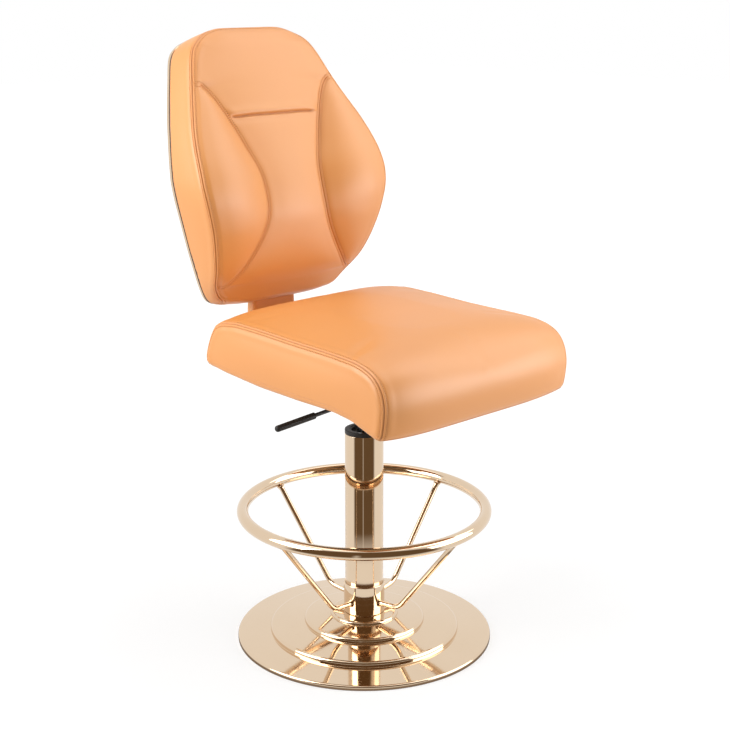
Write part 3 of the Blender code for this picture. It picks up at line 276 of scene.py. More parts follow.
def plywood():
    finish = Finish("plywood", "plywood")
    figure = finish.noise(60.0, 6.0, 0.6, (1.0, 0.07, 1.0))
    pores = finish.noise(500.0, 3.0, 0.5, (1.0, 0.05, 1.0))
    veneer = (figure * 0.8 + pores * 0.2).rising(0.30, 0.42)
    finish.set(Base_Color=finish.mix(veneer, (0.36, 0.22, 0.11), (0.60, 0.43, 0.26)))
    finish.set(Roughness=0.58 + pores * 0.25)
    finish.bump(pores, 0.4, 0.0003)
    return finish.material


ply = plywood()
print("plain finishes ready")

# %% [markdown]
# ## Tan leather
# The cover is a smooth, finished hide: fine pebbled cells about a millimetre across, with
# finer creases inside them. Its colour drifts a little from place to place. The attribute
# `seam` is 1 in a seam's valley, where the colour is darkened with painted shade and the shine is lost.

# %% Leather, trim, thread and the painted shade of needle holes
def leather(name, slot, light, deep, seam_shade):
    finish = Finish(name, slot, Specular_IOR_Level=0.8, Coat_Weight=0.32, Coat_Roughness=0.46, Coat_IOR=1.6)
    drift = finish.noise(5.0, 3.0, 0.55)
    pebbles = finish.value("ShaderNodeTexVoronoi", "Distance", None, Vector=finish.place(), Scale=950.0)
    creases = finish.noise(2300.0, 2.0, 0.6)
    seam = finish.value("ShaderNodeAttribute", "Fac", {"attribute_name": "seam"})
    tone = finish.mix(drift, deep, light)
    shine = (0.41 + drift * 0.10 + seam * 0.18).clamped()
    # Where seam is 1 the colour turns towards the painted shade colour of the seam valleys.
    finish.set(Base_Color=finish.mix((seam * 0.62).clamped(), tone, seam_shade), Roughness=shine)
    finish.bump(pebbles * 0.7 + creases * 0.3, 0.16, 0.00030)
    return finish.material


# Each leather's last colour is the painted shade of its seam valleys and tuck crease.
tan = leather("tan_leather", "tan_leather", (0.765, 0.312, 0.072), (0.720, 0.274, 0.059), (0.36, 0.10, 0.022))
trim_leather = leather(
    "trim_leather", "brown_trim", (0.10, 0.052, 0.034), (0.07, 0.036, 0.024), (0.03, 0.015, 0.01)
)
thread = plain_finish(
    "thread", "tan_leather", (0.94, 0.44, 0.15), (1.0, 0.56, 0.24), None,
    grain=(1800.0, 1.0, 0.5, (1.0, 1.0, 0.3)), relief=(0.4, 0.0002), Roughness=0.6,
)
# Needle holes: a dark, matte colour that paints the shade inside each hole.
needle_hole = plain_finish(
    "needle_hole", "tan_leather", (0.28, 0.065, 0.014), (0.40, 0.10, 0.024), None,
    grain=(900.0, 1.0, 0.5), Roughness=0.9, Specular_IOR_Level=0.0,
)
print("leather and thread ready")

# %% [markdown]
# ## Making and placing pieces
# Each finished piece is a mesh at the origin with its place in its points, like the packed
# nodes. One helper links it, gives it a material, lets it ride on its body and hides the
# imported node it stands for, if one is given.

# %% Piece helpers
def loose_object(name, mesh):
    obj = bpy.data.objects.new(name, mesh)
    bpy.context.scene.collection.objects.link(obj)
    return obj


def add_piece(name, mesh, material, body, stands_for=None, sharp=None, smooth=True):
    """sharp is the angle in degrees from which an edge between two faces stays crisp."""
    obj = loose_object(name, mesh)
    mesh.materials.clear()
    mesh.materials.append(material)
    mesh.polygons.foreach_set("use_smooth", [smooth] * len(mesh.polygons))
    if sharp:
        mesh.set_sharp_from_angle(angle=radians(sharp))
    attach(obj, body)
    if stands_for:
        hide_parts(stands_for)
    print(name, "faces", len(mesh.polygons))
    return obj


def mesh_from_patches(name, patches, weld=0.00002):
    """Joins grids of points, each (rows, columns, 3), into one welded mesh that faces outwards."""
    points, faces, start = [], [], 0
    for patch in patches:
        rows, columns = patch.shape[:2]
        points += [tuple(point) for point in patch.reshape(-1, 3)]
        for row in range(rows - 1):
            for column in range(columns - 1):
                corner = start + row * columns + column
                faces.append((corner, corner + 1, corner + columns + 1, corner + columns))
        start += rows * columns
    mesh = bpy.data.meshes.new(name)
    mesh.from_pydata(points, [], faces)
    bm = bmesh.new()
    bm.from_mesh(mesh)
    bmesh.ops.remove_doubles(bm, verts=bm.verts, dist=weld)
    bmesh.ops.dissolve_degenerate(bm, edges=bm.edges, dist=weld)
    bmesh.ops.recalc_face_normals(bm, faces=bm.faces)
    bm.to_mesh(mesh)
    bm.free()
    return mesh


def evaluated_mesh(obj):
    """The plain mesh of an object with its modifiers used up. The object itself is removed."""
    bpy.context.view_layer.update()
    graph = bpy.context.evaluated_depsgraph_get()
    mesh = bpy.data.meshes.new_from_object(obj.evaluated_get(graph))
    mesh.name = obj.name
    bpy.data.objects.remove(obj, do_unlink=True)
    return mesh


def cut_with(mesh, *tool_meshes):
    for tool_mesh in tool_meshes:
        obj = loose_object(mesh.name, mesh)
        tool = loose_object("tool", tool_mesh)
        cutter = obj.modifiers.new("Cut", "BOOLEAN")
        cutter.operation = "DIFFERENCE"
        cutter.solver = "EXACT"
        cutter.object = tool
        mesh = evaluated_mesh(obj)
        bpy.data.objects.remove(tool, do_unlink=True)
    return mesh


def tool_from(bm):
    mesh = bpy.data.meshes.new("tool")
    bm.to_mesh(mesh)
    bm.free()
    return mesh


def hole_tool(node, radius, reach, axis=None):
    """A round bar through a fastener's node, along the fastener unless an axis is given."""
    points = np.array([tuple(v.co) for v in frame["nodes"][node].data.vertices])
    middle = (points.min(axis=0) + points.max(axis=0)) / 2
    axis = axis or Vector(np.linalg.svd(points - points.mean(axis=0))[2][0])
    bm = bmesh.new()
    bmesh.ops.create_cone(bm, cap_ends=True, segments=24, radius1=radius, radius2=radius, depth=reach)
    mesh = tool_from(bm)
    mesh.transform(Matrix.Translation(Vector(middle)) @ axis.to_track_quat("Z", "Y").to_matrix().to_4x4())
    return mesh


def box_tool(low, high):
    low, high = Vector(low), Vector(high)
    bm = bmesh.new()
    bmesh.ops.create_cube(bm, size=1.0)
    bmesh.ops.scale(bm, vec=high - low, verts=bm.verts)
    bmesh.ops.translate(bm, vec=(high + low) / 2, verts=bm.verts)
    return tool_from(bm)


def low_and_high(node):
    """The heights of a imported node's lowest and highest points."""
    low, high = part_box(node)
    return low.z, high.z


print("piece helpers ready")

# %% [markdown]
# ## Turned metal
# The base cover, column, collar and cap are turned or spun, so one outline makes each.
# A real edge is never sharp, and on polished metal the small radius is what catches the
# light. Each corner of an outline is given its radius, and the outline is turned round.

# %% Turned pieces
def rounded(start, corner, end, steps):
    """Points on the bend that leaves start towards the corner and arrives at end."""
    shares = [step / steps for step in range(steps + 1)]
    return [start.lerp(corner, share).lerp(corner.lerp(end, share), share) for share in shares]


def rounded_outline(corners, steps=5):
    """Corners are (radius, height, rounding). The outline is closed."""
    made = []
    for index, (radius, height, rounding) in enumerate(corners):
        here = Vector((radius, height))
        if rounding == 0:
            made.append(here)
            continue
        sides = [Vector(corners[other % len(corners)][:2]) - here for other in (index - 1, index + 1)]
        start, end = [here + side.normalized() * rounding for side in sides]
        made += rounded(start, here, end, steps)
    return made


def spun_mesh(name, outline, turns=144):
    """Turns a closed outline of (radius, height) points round the column's axis."""
    outline = [*outline, outline[0]]
    angles = np.linspace(0.0, 2 * pi, turns + 1)
    patch = np.array([[(x * cos(a), x * sin(a), z) for x, z in outline] for a in angles])
    return mesh_from_patches(name, [patch])


def turned_piece(name, corners, material, body, node, turns=144, tools=(), place=None):
    """Turns an outline, cuts its holes with tools, and moves it to its place."""
    mesh = cut_with(spun_mesh(name, rounded_outline(corners), turns), *tools)
    if place is not None:
        mesh.transform(place)
    return add_piece(name, mesh, material, body, node, sharp=30)


pad_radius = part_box("floor_pad")[1].x
pad_corners = [(0, 0.003, 0), (pad_radius, 0.003, 0.0006), (pad_radius, 0, 0.0006), (0, 0, 0)]
turned_piece("foot_pad", pad_corners, rubber, "base", "floor_pad")

# %% [markdown]
# ## The disc base cover
# One sheet of steel is spun over a former into four level lands with rounded shoulders.
# At the foot of each shoulder the sheet turns sharply, and that line reads dark. The cover
# is 1.2 mm thick and open below, so the inner side is the same outline, moved inwards.

# %% Base cover
cover_wall = 0.0012
shoulder = 0.0070
cover_corners = [
    (0.0388, 0.0508, 0.0004), (0.0680, 0.0508, shoulder), (0.0680, 0.0445, 0.0006), (0.1200, 0.0405, shoulder),
    (0.1200, 0.0311, 0.0006), (0.1885, 0.0258, shoulder), (0.1885, 0.0149, 0.0006), (0.2536, 0.0099, 0.0045),
    (0.2536, 0.0010, 0.0003),
]


def shoulder_outline(corners, steps=8):
    """An open outline of lands and shoulders, hub to rim. A shoulder's radius fits its drop."""
    made = [Vector(corners[0][:2])]
    for before, here, after in zip(corners, corners[1:], corners[2:]):
        corner = Vector(here[:2])
        back, ahead = Vector(before[:2]) - corner, Vector(after[:2]) - corner
        start = corner + back.normalized() * min(here[2], back.length * 0.5)
        end = corner + ahead.normalized() * min(here[2], ahead.length * 0.92)
        made += rounded(start, corner, end, steps)
    made.append(Vector(corners[-1][:2]))
    return made


outer_side = shoulder_outline(cover_corners)
inner_side = []
for before, here, after in zip(outer_side[:1] + outer_side, outer_side, outer_side[1:] + outer_side[-1:]):
    along = (after - before).normalized()
    inner_side.append(here + Vector((along.y, -along.x)) * cover_wall)
cover_outline = [(point.x, max(point.y, 0.0006)) for point in outer_side + inner_side[::-1]]
cover_mesh = spun_mesh("disc_cover", cover_outline, 192)
add_piece("disc_cover", cover_mesh, spun_disc, "base", "base_cover", sharp=40)

# %% [markdown]
# ## Column, collar and cap
# The column is a plain 76 mm tube. The collar slides over it and holds the foot ring. The
# black cap closes the tube's top and guides the lift, with a lip as wide as the column.
# In the photograph the column reaches 7 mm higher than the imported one, so ours does too.

# %% Column, collar and cap
taller = 0.0070
column_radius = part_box("column_tube")[1].x
column_bore = column_radius - 0.002
column_low, column_high = low_and_high("column_tube")
column_high += taller
column_corners = [
    (column_radius, column_high, 0.0006), (column_radius, column_low, 0.0004), (column_bore, column_low, 0),
    (column_bore, column_high, 0.0003),
]
turned_piece("column", column_corners, polished_round, "base", "column_tube")

collar_radius = 0.0408
collar_bore = column_radius + 0.0003
collar_low, collar_high = low_and_high("foot_ring_collar")
collar_corners = [
    (collar_radius, collar_high, 0.0016), (collar_radius, collar_low, 0.0016), (collar_bore, collar_low, 0.0002),
    (collar_bore, collar_high, 0.0002),
]
screw_holes = []
for screw in ("collar_grub_screw_1", "collar_grub_screw_2"):
    low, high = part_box(screw)
    outward = Vector((low.x + high.x, low.y + high.y, 0.0)).normalized()
    screw_holes.append(hole_tool(screw, 0.0033, 0.020, outward))
turned_piece("collar", collar_corners, polished_round, "base", "foot_ring_collar", tools=screw_holes)

cap_low, cap_high = low_and_high("column_cap")
cap_low, cap_high = cap_low + taller, cap_high + taller * 0.85
cap_bore = 0.0253
lip_low = column_high + 0.0003
skirt = column_radius - 0.0023
cap_corners = [
    (cap_bore, cap_high - 0.0016, 0.0004), (cap_bore + 0.0032, cap_high - 0.0016, 0.0003),
    (cap_bore + 0.0040, cap_high, 0.0005), (column_radius, cap_high, 0.0018), (column_radius, lip_low, 0.0005),
    (skirt, lip_low, 0.0002), (skirt, cap_low, 0.0004), (skirt - 0.004, cap_low, 0.0004),
    (skirt - 0.004, lip_low, 0.0004), (cap_bore, lip_low, 0.0002),
]
turned_piece("cap", cap_corners, plastic, "base", "column_cap", 96)

# %% [markdown]
# ## Gas lift and its guide
# Above the cap the lift's chromed cylinder stands in a plastic bush. It narrows slightly at
# the top, where its taper wedges into the seat's socket.

# %% Lift cylinder, socket and bush
lift_low, lift_high = low_and_high("lift_cylinder")
lift_corners = [
    (0.0034, lift_high, 0.0004), (0.0127, lift_high, 0.0012), (0.0140, lift_high - 0.050, 0.0040),
    (0.0140, lift_low, 0.0012), (0.0056, lift_low, 0.0002), (0.0056, lift_low + 0.015, 0.0),
    (0.0120, lift_low + 0.015, 0.0), (0.0120, lift_high - 0.040, 0.0), (0.0034, lift_high - 0.040, 0.0),
]
socket_low, socket_high = low_and_high("taper_socket")
socket_corners = [
    (0.0210, socket_high, 0.0008), (0.0210, socket_low, 0.0012), (0.0143, socket_low, 0.0004),
    (0.0131, socket_high, 0.0002),
]
bush_low, bush_high = low_and_high("guide_bush")
bush_corners = [
    (0.0250, bush_high, 0.0010), (0.0250, bush_high - 0.0025, 0.0002), (0.0232, bush_high - 0.0025, 0.0002),
    (0.0232, bush_low, 0.0004), (0.0146, bush_low, 0.0004), (0.0146, bush_high, 0.0008),
]
turned_piece("lift", lift_corners, chrome, "seat", "lift_cylinder", 64)
turned_piece("socket", socket_corners, paint, "seat", "taper_socket", 64)
turned_piece("bush", bush_corners, plastic, "base", "guide_bush", 64)

# %% [markdown]
# ## Foot ring and spokes
# The ring is one closed tube. Each spoke is a rod, bent once near the column and brazed at
# both ends. The brazing leaves a small fillet, so the rod grows wider just where it ends.
# A swept circle whose radius follows a list makes the rod and its fillets in one piece.

# %% Ring and spokes
def swept_mesh(name, path, radii, sides=24):
    """A round rod with closed ends along a path of points, with its own radius at each point."""
    path = [Vector(point) for point in path]
    angles = [2 * pi * side / sides for side in range(sides + 1)]
    rings = []
    across = None
    for index, here in enumerate(path):
        before, after = path[max(index - 1, 0)], path[min(index + 1, len(path) - 1)]
        along = (after - before).normalized()
        if across is None:
            across = along.orthogonal().normalized()
        across = (across - along * across.dot(along)).normalized()
        third = along.cross(across)
        rings.append([here + (across * cos(a) + third * sin(a)) * radii[index] for a in angles])
    rings = [[path[0]] * (sides + 1), *rings, [path[-1]] * (sides + 1)]
    return mesh_from_patches(name, [np.array(rings)])


def bent_path(points, radius, parts=8, spacing=0.006):
    """Straight runs with a smooth bend at each inner point, cut into short steps."""
    points = [Vector(point) for point in points]
    made = points[:1]
    for before, corner, after in zip(points, points[1:], points[2:]):
        start, end = [corner + (other - corner).normalized() * radius for other in (before, after)]
        made += rounded(start, corner, end, parts)
    made.append(points[-1])
    short = made[:1]
    for before, after in zip(made, made[1:]):
        pieces = max(1, int((after - before).length / spacing))
        short += [before.lerp(after, (piece + 1) / pieces) for piece in range(pieces)]
    return short


def lengths_along(points):
    """How far each point of a line lies along it."""
    steps = np.linalg.norm(np.diff(points, axis=0), axis=1)
    return np.concatenate([[0.0], np.cumsum(steps)])


def fillet_radii(path, radius, flare, reach):
    """The rod's radius along its path, wider within reach of either end."""
    lengths = lengths_along(np.array(path))
    near = np.minimum(lengths, lengths[-1] - lengths) / reach
    return [float(value) for value in radius + flare * np.maximum(0.0, 1.0 - near) ** 2]


ring_radius, ring_tube, ring_height = 0.2394, 0.0116, 0.267
around_tube = np.linspace(0.0, 2 * pi, 41)[:-1]
tube_outline = [(ring_radius + ring_tube * cos(a), ring_height + ring_tube * sin(a)) for a in around_tube]
add_piece("ring", spun_mesh("ring", tube_outline, 192), polished_round, "base", "foot_ring")

spoke_radius = 0.0053
spoke_turn = radians(5.0)
spoke_foot, spoke_bend = (collar_radius - 0.0004, 0.0, 0.0755), (0.0900, 0.0, 0.0800)
spoke_head = (ring_radius - 0.0076, 0.0, ring_height - 0.0094)
spoke_view = bent_path((spoke_foot, spoke_bend, spoke_head), 0.016)
for number in range(1, 5):
    turn = Matrix.Rotation(spoke_turn + (number - 1) * pi / 2, 3, "Z")
    path = [turn @ point for point in spoke_view]
    name = "bent_spoke_" + str(number)
    mesh = swept_mesh(name, path, fillet_radii(path, spoke_radius, 0.0028, 0.009))
    add_piece(name, mesh, polished_round, "base", "spoke_" + str(number))

# %% [markdown]
# ## Height lever
# A bent steel rod turns on a pin inside the housing. Outside, a moulded grip with a domed
# end is pressed over it. The grip has a shallow step where it starts.

# %% Lever
pivot = Vector(frame["joints"][2]["pos_m"])
lever_slope = 0.0680
lever_reach = -0.224
outwards = Vector((-1.0, 0.0, -lever_slope)).normalized()
tip = Vector((lever_reach, 0.0, pivot.z + lever_slope * (lever_reach - pivot.x)))
grip_length = 0.095
grip_start = tip - outwards * grip_length
pin_height = 0.5166
lever_bend, lever_end = (pivot.x + 0.012, 0.0, pin_height), (0.006, 0.0, pin_height)
rod_path = bent_path((grip_start + outwards * 0.080, pivot, lever_bend, lever_end), 0.006, 6)
rod_mesh = swept_mesh("lever_arm", rod_path, [0.0039] * len(rod_path), 20)
add_piece("lever_arm", rod_mesh, paint, "lever", "lever_rod", sharp=30)
boss_corners = [
    (0.0062, 0.0070, 0.0006), (0.0062, -0.0070, 0.0006), (0.0028, -0.0070, 0.0003), (0.0028, 0.0070, 0.0003),
]
boss_place = Matrix.Translation(pivot) @ Matrix.Rotation(pi / 2, 4, "X")
turned_piece("lever_boss", boss_corners, paint, "lever", None, 40, place=boss_place)
grip_corners = [
    (0.0, grip_length, 0.0), (0.0062, grip_length, 0.0050), (0.0065, 0.012, 0.0010), (0.0065, 0.0, 0.0012),
    (0.0043, 0.0, 0.0004), (0.0043, 0.084, 0.0), (0.0, 0.084, 0.0),
]
grip_place = Matrix.Translation(grip_start) @ outwards.to_track_quat("Z", "Y").to_matrix().to_4x4()
turned_piece("grip", grip_corners, plastic, "lever", "lever_grip", 40, place=grip_place)

# %% [markdown]
# ## How the upholstery is made
# A cover is cut from flat panels and sewn, so we build it from grids of points, one per
# panel, that share their borders. Each point remembers how far it is from the seam, so a
# seam can be carved exactly after the cover has been inflated and made finer.

# %% Curves and grids of points
def smooth_follow(keys, share):
    """Reads a table of (share, value) keys with a smooth curve through them."""
    share = min(max(share, keys[0][0]), keys[-1][0])
    last = len(keys) - 2
    index = next((k for k in range(last + 1) if share <= keys[k + 1][0]), last)
    (x0, y0), (x1, y1) = keys[index], keys[index + 1]
    before, after = keys[max(index - 1, 0)], keys[min(index + 2, last + 1)]
    width = x1 - x0
    rise_0 = width * (y1 - before[1]) / (x1 - before[0])
    rise_1 = width * (after[1] - y0) / (after[0] - x0)
    t = (share - x0) / width
    ends = (1 + 2 * t) * (1 - t) ** 2 * y0 + t * t * (3 - 2 * t) * y1
    return ends + t * (1 - t) ** 2 * rise_0 + t * t * (t - 1) * rise_1


def follow(keys, shares):
    return np.array([smooth_follow(keys, share) for share in np.atleast_1d(shares)])


def read_along(points, at):
    """Points at given lengths along a line of points."""
    lengths = lengths_along(points)
    return np.stack([np.interp(at, lengths, points[:, k]) for k in range(points.shape[1])], axis=1)


def unit(vectors):
    return vectors / np.linalg.norm(vectors, axis=1, keepdims=True)


def closed(values):
    """Repeats the first value or row at the end, which closes a loop."""
    return np.concatenate([values, values[:1]])


def blurred(loop, rounds):
    """Softens a closed loop of values: each takes a quarter of both its neighbours."""
    for _ in range(rounds):
        loop = loop * 0.5 + (np.roll(loop, 1, axis=0) + np.roll(loop, -1, axis=0)) * 0.25
    return loop


def softened_loop(points, blur, spacing=0.001):
    """A closed outline through points, sampled every millimetre and softened."""
    outline = closed(np.array(points, dtype=float))
    loop = read_along(outline, np.arange(0.0, lengths_along(outline)[-1], spacing))
    return blurred(loop, int(2 * (blur / spacing) ** 2))


def outward_normals(loop):
    """Unit normals of a closed plane loop, pointing away from its middle."""
    along = np.roll(loop, -1, axis=0) - np.roll(loop, 1, axis=0)
    normals = unit(np.stack([along[:, 1], -along[:, 0]], axis=1))
    return normals if np.sum(normals * (loop - loop.mean(axis=0))) >= 0 else -normals


def loop_read(values, at):
    """Reads a closed loop of values at positions that may lie between its samples."""
    low = np.floor(at).astype(int) % len(values)
    share = at - np.floor(at)
    if values.ndim > 1:
        share = share[:, None]
    return values[low] * (1 - share) + values[(low + 1) % len(values)] * share


def stretch_of(loop_length, marks, side):
    """The loop's positions on one side, from its corner mark up to the next."""
    length = (marks[(side + 1) % len(marks)] - marks[side]) % loop_length
    return marks[side] + np.arange(length)


def filled(marks, spacing):
    """Adds equal steps, no longer than the spacing, between marks."""
    made = [marks[0]]
    for before, after in zip(marks, marks[1:]):
        parts = max(1, int(np.ceil((after - before) / spacing - 1e-6)))
        made += [before + (after - before) * (part + 1) / parts for part in range(parts)]
    return np.array(made)


def coons(low, high, left, right):
    """Fills the space between four border lines. low and high run left to right."""
    u = np.linspace(0.0, 1.0, len(low))[None, :, None]
    v = np.linspace(0.0, 1.0, len(left))[:, None, None]
    sides = left[:, None, :] * (1 - u) + right[:, None, :] * u
    ends = low[None] * (1 - v) + high[None] * v
    corners = low[0] * (1 - u) * (1 - v) + low[-1] * u * (1 - v) + high[0] * (1 - u) * v + high[-1] * u * v
    return sides + ends - corners


def nearest(points, line, batch=2000):
    """For each point: the distance to the nearest point of a line of points, and its index."""
    flat = points.reshape(-1, points.shape[-1])
    found = np.empty(len(flat))
    index = np.empty(len(flat), dtype=int)
    for start in range(0, len(flat), batch):
        apart = np.linalg.norm(flat[start:start + batch, None] - line[None], axis=2)
        index[start:start + batch] = apart.argmin(axis=1)
        found[start:start + batch] = apart.min(axis=1)
    return found.reshape(points.shape[:-1]), index.reshape(points.shape[:-1])


print("curve helpers ready")

# %% [markdown]
# ## From panels to a swollen cover
# The panels are welded into one mesh. Blender's Cloth then blows it up gently with the
# seams held, as foam does inside leather. Each point may move only a little, so the shape
# stays true, and one round of subdivision smooths what is left.

# %% Sewing and swelling
far_away = 0.06
blank_numbers = {
    "held": 0.0,
    "edge": far_away,
    "inner": far_away,
    "inner_side": far_away,
    "tuck": far_away,
    "above": 0.0,
}


def sewn_mesh(name, patches):
    """Welds patches, each a dict of points and of the numbers above, one per point."""
    bm = bmesh.new()
    layers = {key: bm.verts.layers.float.new(key) for key in blank_numbers}
    for patch in patches:
        rows, columns = patch["points"].shape[:2]
        grid = [bm.verts.new(point) for point in patch["points"].reshape(-1, 3)]
        for key, blank in blank_numbers.items():
            numbers = np.broadcast_to(patch.get(key, blank), (rows, columns)).ravel()
            for vert, number in zip(grid, numbers):
                vert[layers[key]] = float(number)
        for row in range(rows - 1):
            for column in range(columns - 1):
                first = row * columns + column
                corners = (first, first + 1, first + columns + 1, first + columns)
                bm.faces.new([grid[corner] for corner in corners])
    bmesh.ops.remove_doubles(bm, verts=bm.verts, dist=0.00006)
    bmesh.ops.recalc_face_normals(bm, faces=bm.faces)
    mesh = bpy.data.meshes.new(name)
    bm.to_mesh(mesh)
    bm.free()
    return mesh


def read_numbers(data, key, size):
    flat = np.empty(len(data) * size, dtype=np.float32)
    data.foreach_get(key, flat)
    return flat.astype(float) if size == 1 else flat.reshape(-1, size).astype(float)


def read_points(mesh):
    return read_numbers(mesh.vertices, "co", 3)


def read_normals(mesh):
    return read_numbers(mesh.vertex_normals, "vector", 3)


def read_number(mesh, key):
    return read_numbers(mesh.attributes[key].data, "value", 1)


def write_points(mesh, points):
    mesh.vertices.foreach_set("co", points.astype(np.float32).ravel())
    mesh.update()


cloth_settings = {
    "quality": 6,
    "mass": 0.3,
    "tension_stiffness": 30,
    "compression_stiffness": 30,
    "shear_stiffness": 12,
    "bending_stiffness": 2.0,
    "use_pressure": True,
    "vertex_group_mass": "held",
}


def swell(mesh, pressure, cap, frames=20):
    """Inflates the cover a little. Points move no further than the cap, held ones not at all."""
    before = read_points(mesh)
    held = read_number(mesh, "held")
    obj = loose_object("cover_to_swell", mesh.copy())
    group = obj.vertex_groups.new(name="held")
    for index in np.nonzero(held > 0.01)[0]:
        group.add([int(index)], float(min(held[index], 1.0)), "REPLACE")
    cloth = obj.modifiers.new("Cloth", "CLOTH")
    for key, value in cloth_settings.items():
        setattr(cloth.settings, key, value)
    cloth.settings.uniform_pressure_force = pressure
    cloth.settings.effector_weights.gravity = 0
    cloth.collision_settings.use_collision = False
    cloth.point_cache.frame_end = frames
    for step in range(1, frames + 1):
        bpy.context.scene.frame_set(step)
    swollen = evaluated_mesh(obj)
    bpy.context.scene.frame_set(1)
    moved = read_points(swollen) - before
    far = np.linalg.norm(moved, axis=1)
    moved *= (np.minimum(far, cap) / np.maximum(far, 1e-9))[:, None]
    moved *= (1.0 - np.clip(held, 0.0, 1.0))[:, None]
    write_points(mesh, before + moved)
    print(mesh.name, "swelled by up to", round(float(min(far.max(), cap)) * 1000, 1), "mm")


def made_finer(mesh):
    obj = loose_object(mesh.name, mesh)
    finer = obj.modifiers.new("Finer", "SUBSURF")
    finer.levels = finer.render_levels = 1
    return evaluated_mesh(obj)


print("sewing helpers ready")

# %% [markdown]
# ## Seams, and the rows beside them
# A twin-needle seam is a narrow valley with a shallow groove on each side, where the
# thread pulls the leather down. Beyond the grooves the leather bulges a little. The rows of
# thread follow lines on the cover that lie at an equal distance from the seam.

# %% Carving seams and following them
def dent(distance, depth, half_width, centre=0.0):
    return depth * np.exp(-(((distance - centre) / half_width) ** 2))


def carve(mesh, seams, tuck_depth=0.0):
    """Sinks the seams into the cover and paints shade into their valleys. seams holds (number's name, row's
    offset, depth, painted shade).
    """
    groove = 0.0006
    points, normals = read_points(mesh), read_normals(mesh)
    sunk = np.zeros(len(points))
    seam_shade = np.zeros(len(points))
    for key, row, depth, dark in seams:
        away = np.abs(read_number(mesh, key))
        here = dent(away, depth, 0.0013) + dent(away, groove, 0.0011, row)
        here -= dent(away, groove, 0.0020, row / 2) + dent(away, 0.55 * depth, 0.006, row + 0.008)
        sunk = np.where(np.abs(here) > np.abs(sunk), here, sunk)
        # Painted shade: strongest in the seam's valley, weaker along each row of thread.
        seam_shade = np.maximum(seam_shade, dent(away, dark, 0.0010) + dent(away, 0.4 * dark, 0.0009, row))
    if tuck_depth:
        away, above = read_number(mesh, "tuck"), read_number(mesh, "above")
        clear = np.clip((read_number(mesh, "inner") - 0.004) / 0.010, 0.0, 1.0)
        fold = dent(away, tuck_depth, 0.0020) - dent(away, tuck_depth * 0.5, 0.008, 0.009) * above
        fold += dent(away, tuck_depth * 0.35, 0.008, 0.006) * (1 - above)
        sunk += fold * clear
        # The tuck's crease gets painted shade at full strength.
        seam_shade = np.maximum(seam_shade, dent(away, 1.0, 0.0016) * clear)
    write_points(mesh, points - normals * sunk[:, None])
    # The attribute seam carries this painted shade to the leather's colour.
    number = mesh.attributes.new("seam", "FLOAT", "POINT")
    number.data.foreach_set("value", seam_shade.astype(np.float32))


def contour(mesh, key, level, keep):
    """Lines on the cover where a number has one value, as lists of (point, normal).

    keep says of a point and its distance from the edge seam whether it belongs to a row.
    """
    numbers, normals = read_number(mesh, key) - level, read_normals(mesh)
    edge_numbers, points = read_number(mesh, "edge"), read_points(mesh)
    crossings, kept, links = {}, {}, {}
    for polygon in mesh.polygons:
        found = []
        corners = list(polygon.vertices)
        for first, second in zip(corners, corners[1:] + corners[:1]):
            if (numbers[first] > 0) == (numbers[second] > 0):
                continue
            low, high = edge = (min(first, second), max(first, second))
            if edge not in crossings:
                share = numbers[low] / (numbers[low] - numbers[high])
                place = points[low] * (1 - share) + points[high] * share
                crossings[edge] = (place, normals[low] * (1 - share) + normals[high] * share)
                kept[edge] = keep(place, edge_numbers[low])
            if kept[edge]:
                found.append(edge)
        if len(found) == 2:
            links.setdefault(found[0], []).append(found[1])
            links.setdefault(found[1], []).append(found[0])
    lines, used = [], set()
    ends = [edge for edge in links if len(links[edge]) == 1]
    for start in ends + list(links):
        line, here = [], start
        while here is not None and here not in used:
            used.add(here)
            line.append(crossings[here])
            here = next((other for other in links[here] if other not in used), None)
        if len(line) > 6:
            lines.append(line)
    return lines


def stitch_places(lines, pitch, lift=0.0, shift=0.0):
    """Equally spaced places along lines: point, direction along the line, direction out.

    A shift of 0 starts at the line's end, and 0.5 puts each place between two of those.
    """
    made = []
    for line in lines:
        points = np.array([item[0] for item in line])
        facing = np.array([item[1] for item in line])
        lengths = lengths_along(points)
        count = int(lengths[-1] / pitch)
        if count < 2:
            continue
        at = (np.arange(count if shift else count + 1) + shift) * lengths[-1] / count
        along = unit(read_along(points, at + 0.001) - read_along(points, at - 0.001))
        out = unit(np.stack([np.interp(at, lengths, facing[:, k]) for k in range(3)], axis=1))
        made += list(zip(read_along(points, at) + out * lift, along, out))
    return made


print("seam helpers ready")

# %% [markdown]
# ## Seat cushion: the side view
# The seat is one long panel that wraps over the top, round the nose and under the front,
# with a panel on each side. We draw the side view once, as a closed loop of four sides,
# and give the long edge between the panels a 15 mm round.

# %% Seat outline
seat_rear_side = [(0.1935, 0.5693), (0.1943, 0.5857), (0.1870, 0.6080), (0.1780, 0.6270), (0.1650, 0.6455)]
seat_top_side = [
    (0.1450, 0.6545), (0.1030, 0.6601), (0.0340, 0.6588), (-0.0650, 0.6548), (-0.1652, 0.6530),
    (-0.2200, 0.6506), (-0.2480, 0.6450), (-0.2680, 0.6365),
]
seat_nose_side = [(-0.2820, 0.6235), (-0.2910, 0.6050), (-0.2950, 0.5828), (-0.2930, 0.5572), (-0.2880, 0.5300)]
seat_under_side = [
    (-0.2820, 0.5262), (-0.2485, 0.5346), (-0.2126, 0.5460), (-0.1644, 0.5510), (-0.0631, 0.5506),
    (0.0371, 0.5530), (0.1425, 0.5620),
]
seat_plan = (
    (-0.32, 1.045), (-0.26, 1.038), (-0.20, 1.024), (-0.12, 1.008), (0.0, 1.0), (0.12, 1.0), (0.2, 0.996),
)
seat_half_width = 0.2345
seat_edge_round = 0.0150
seat_loop = softened_loop(seat_rear_side + seat_top_side + seat_nose_side + seat_under_side, 0.0050)
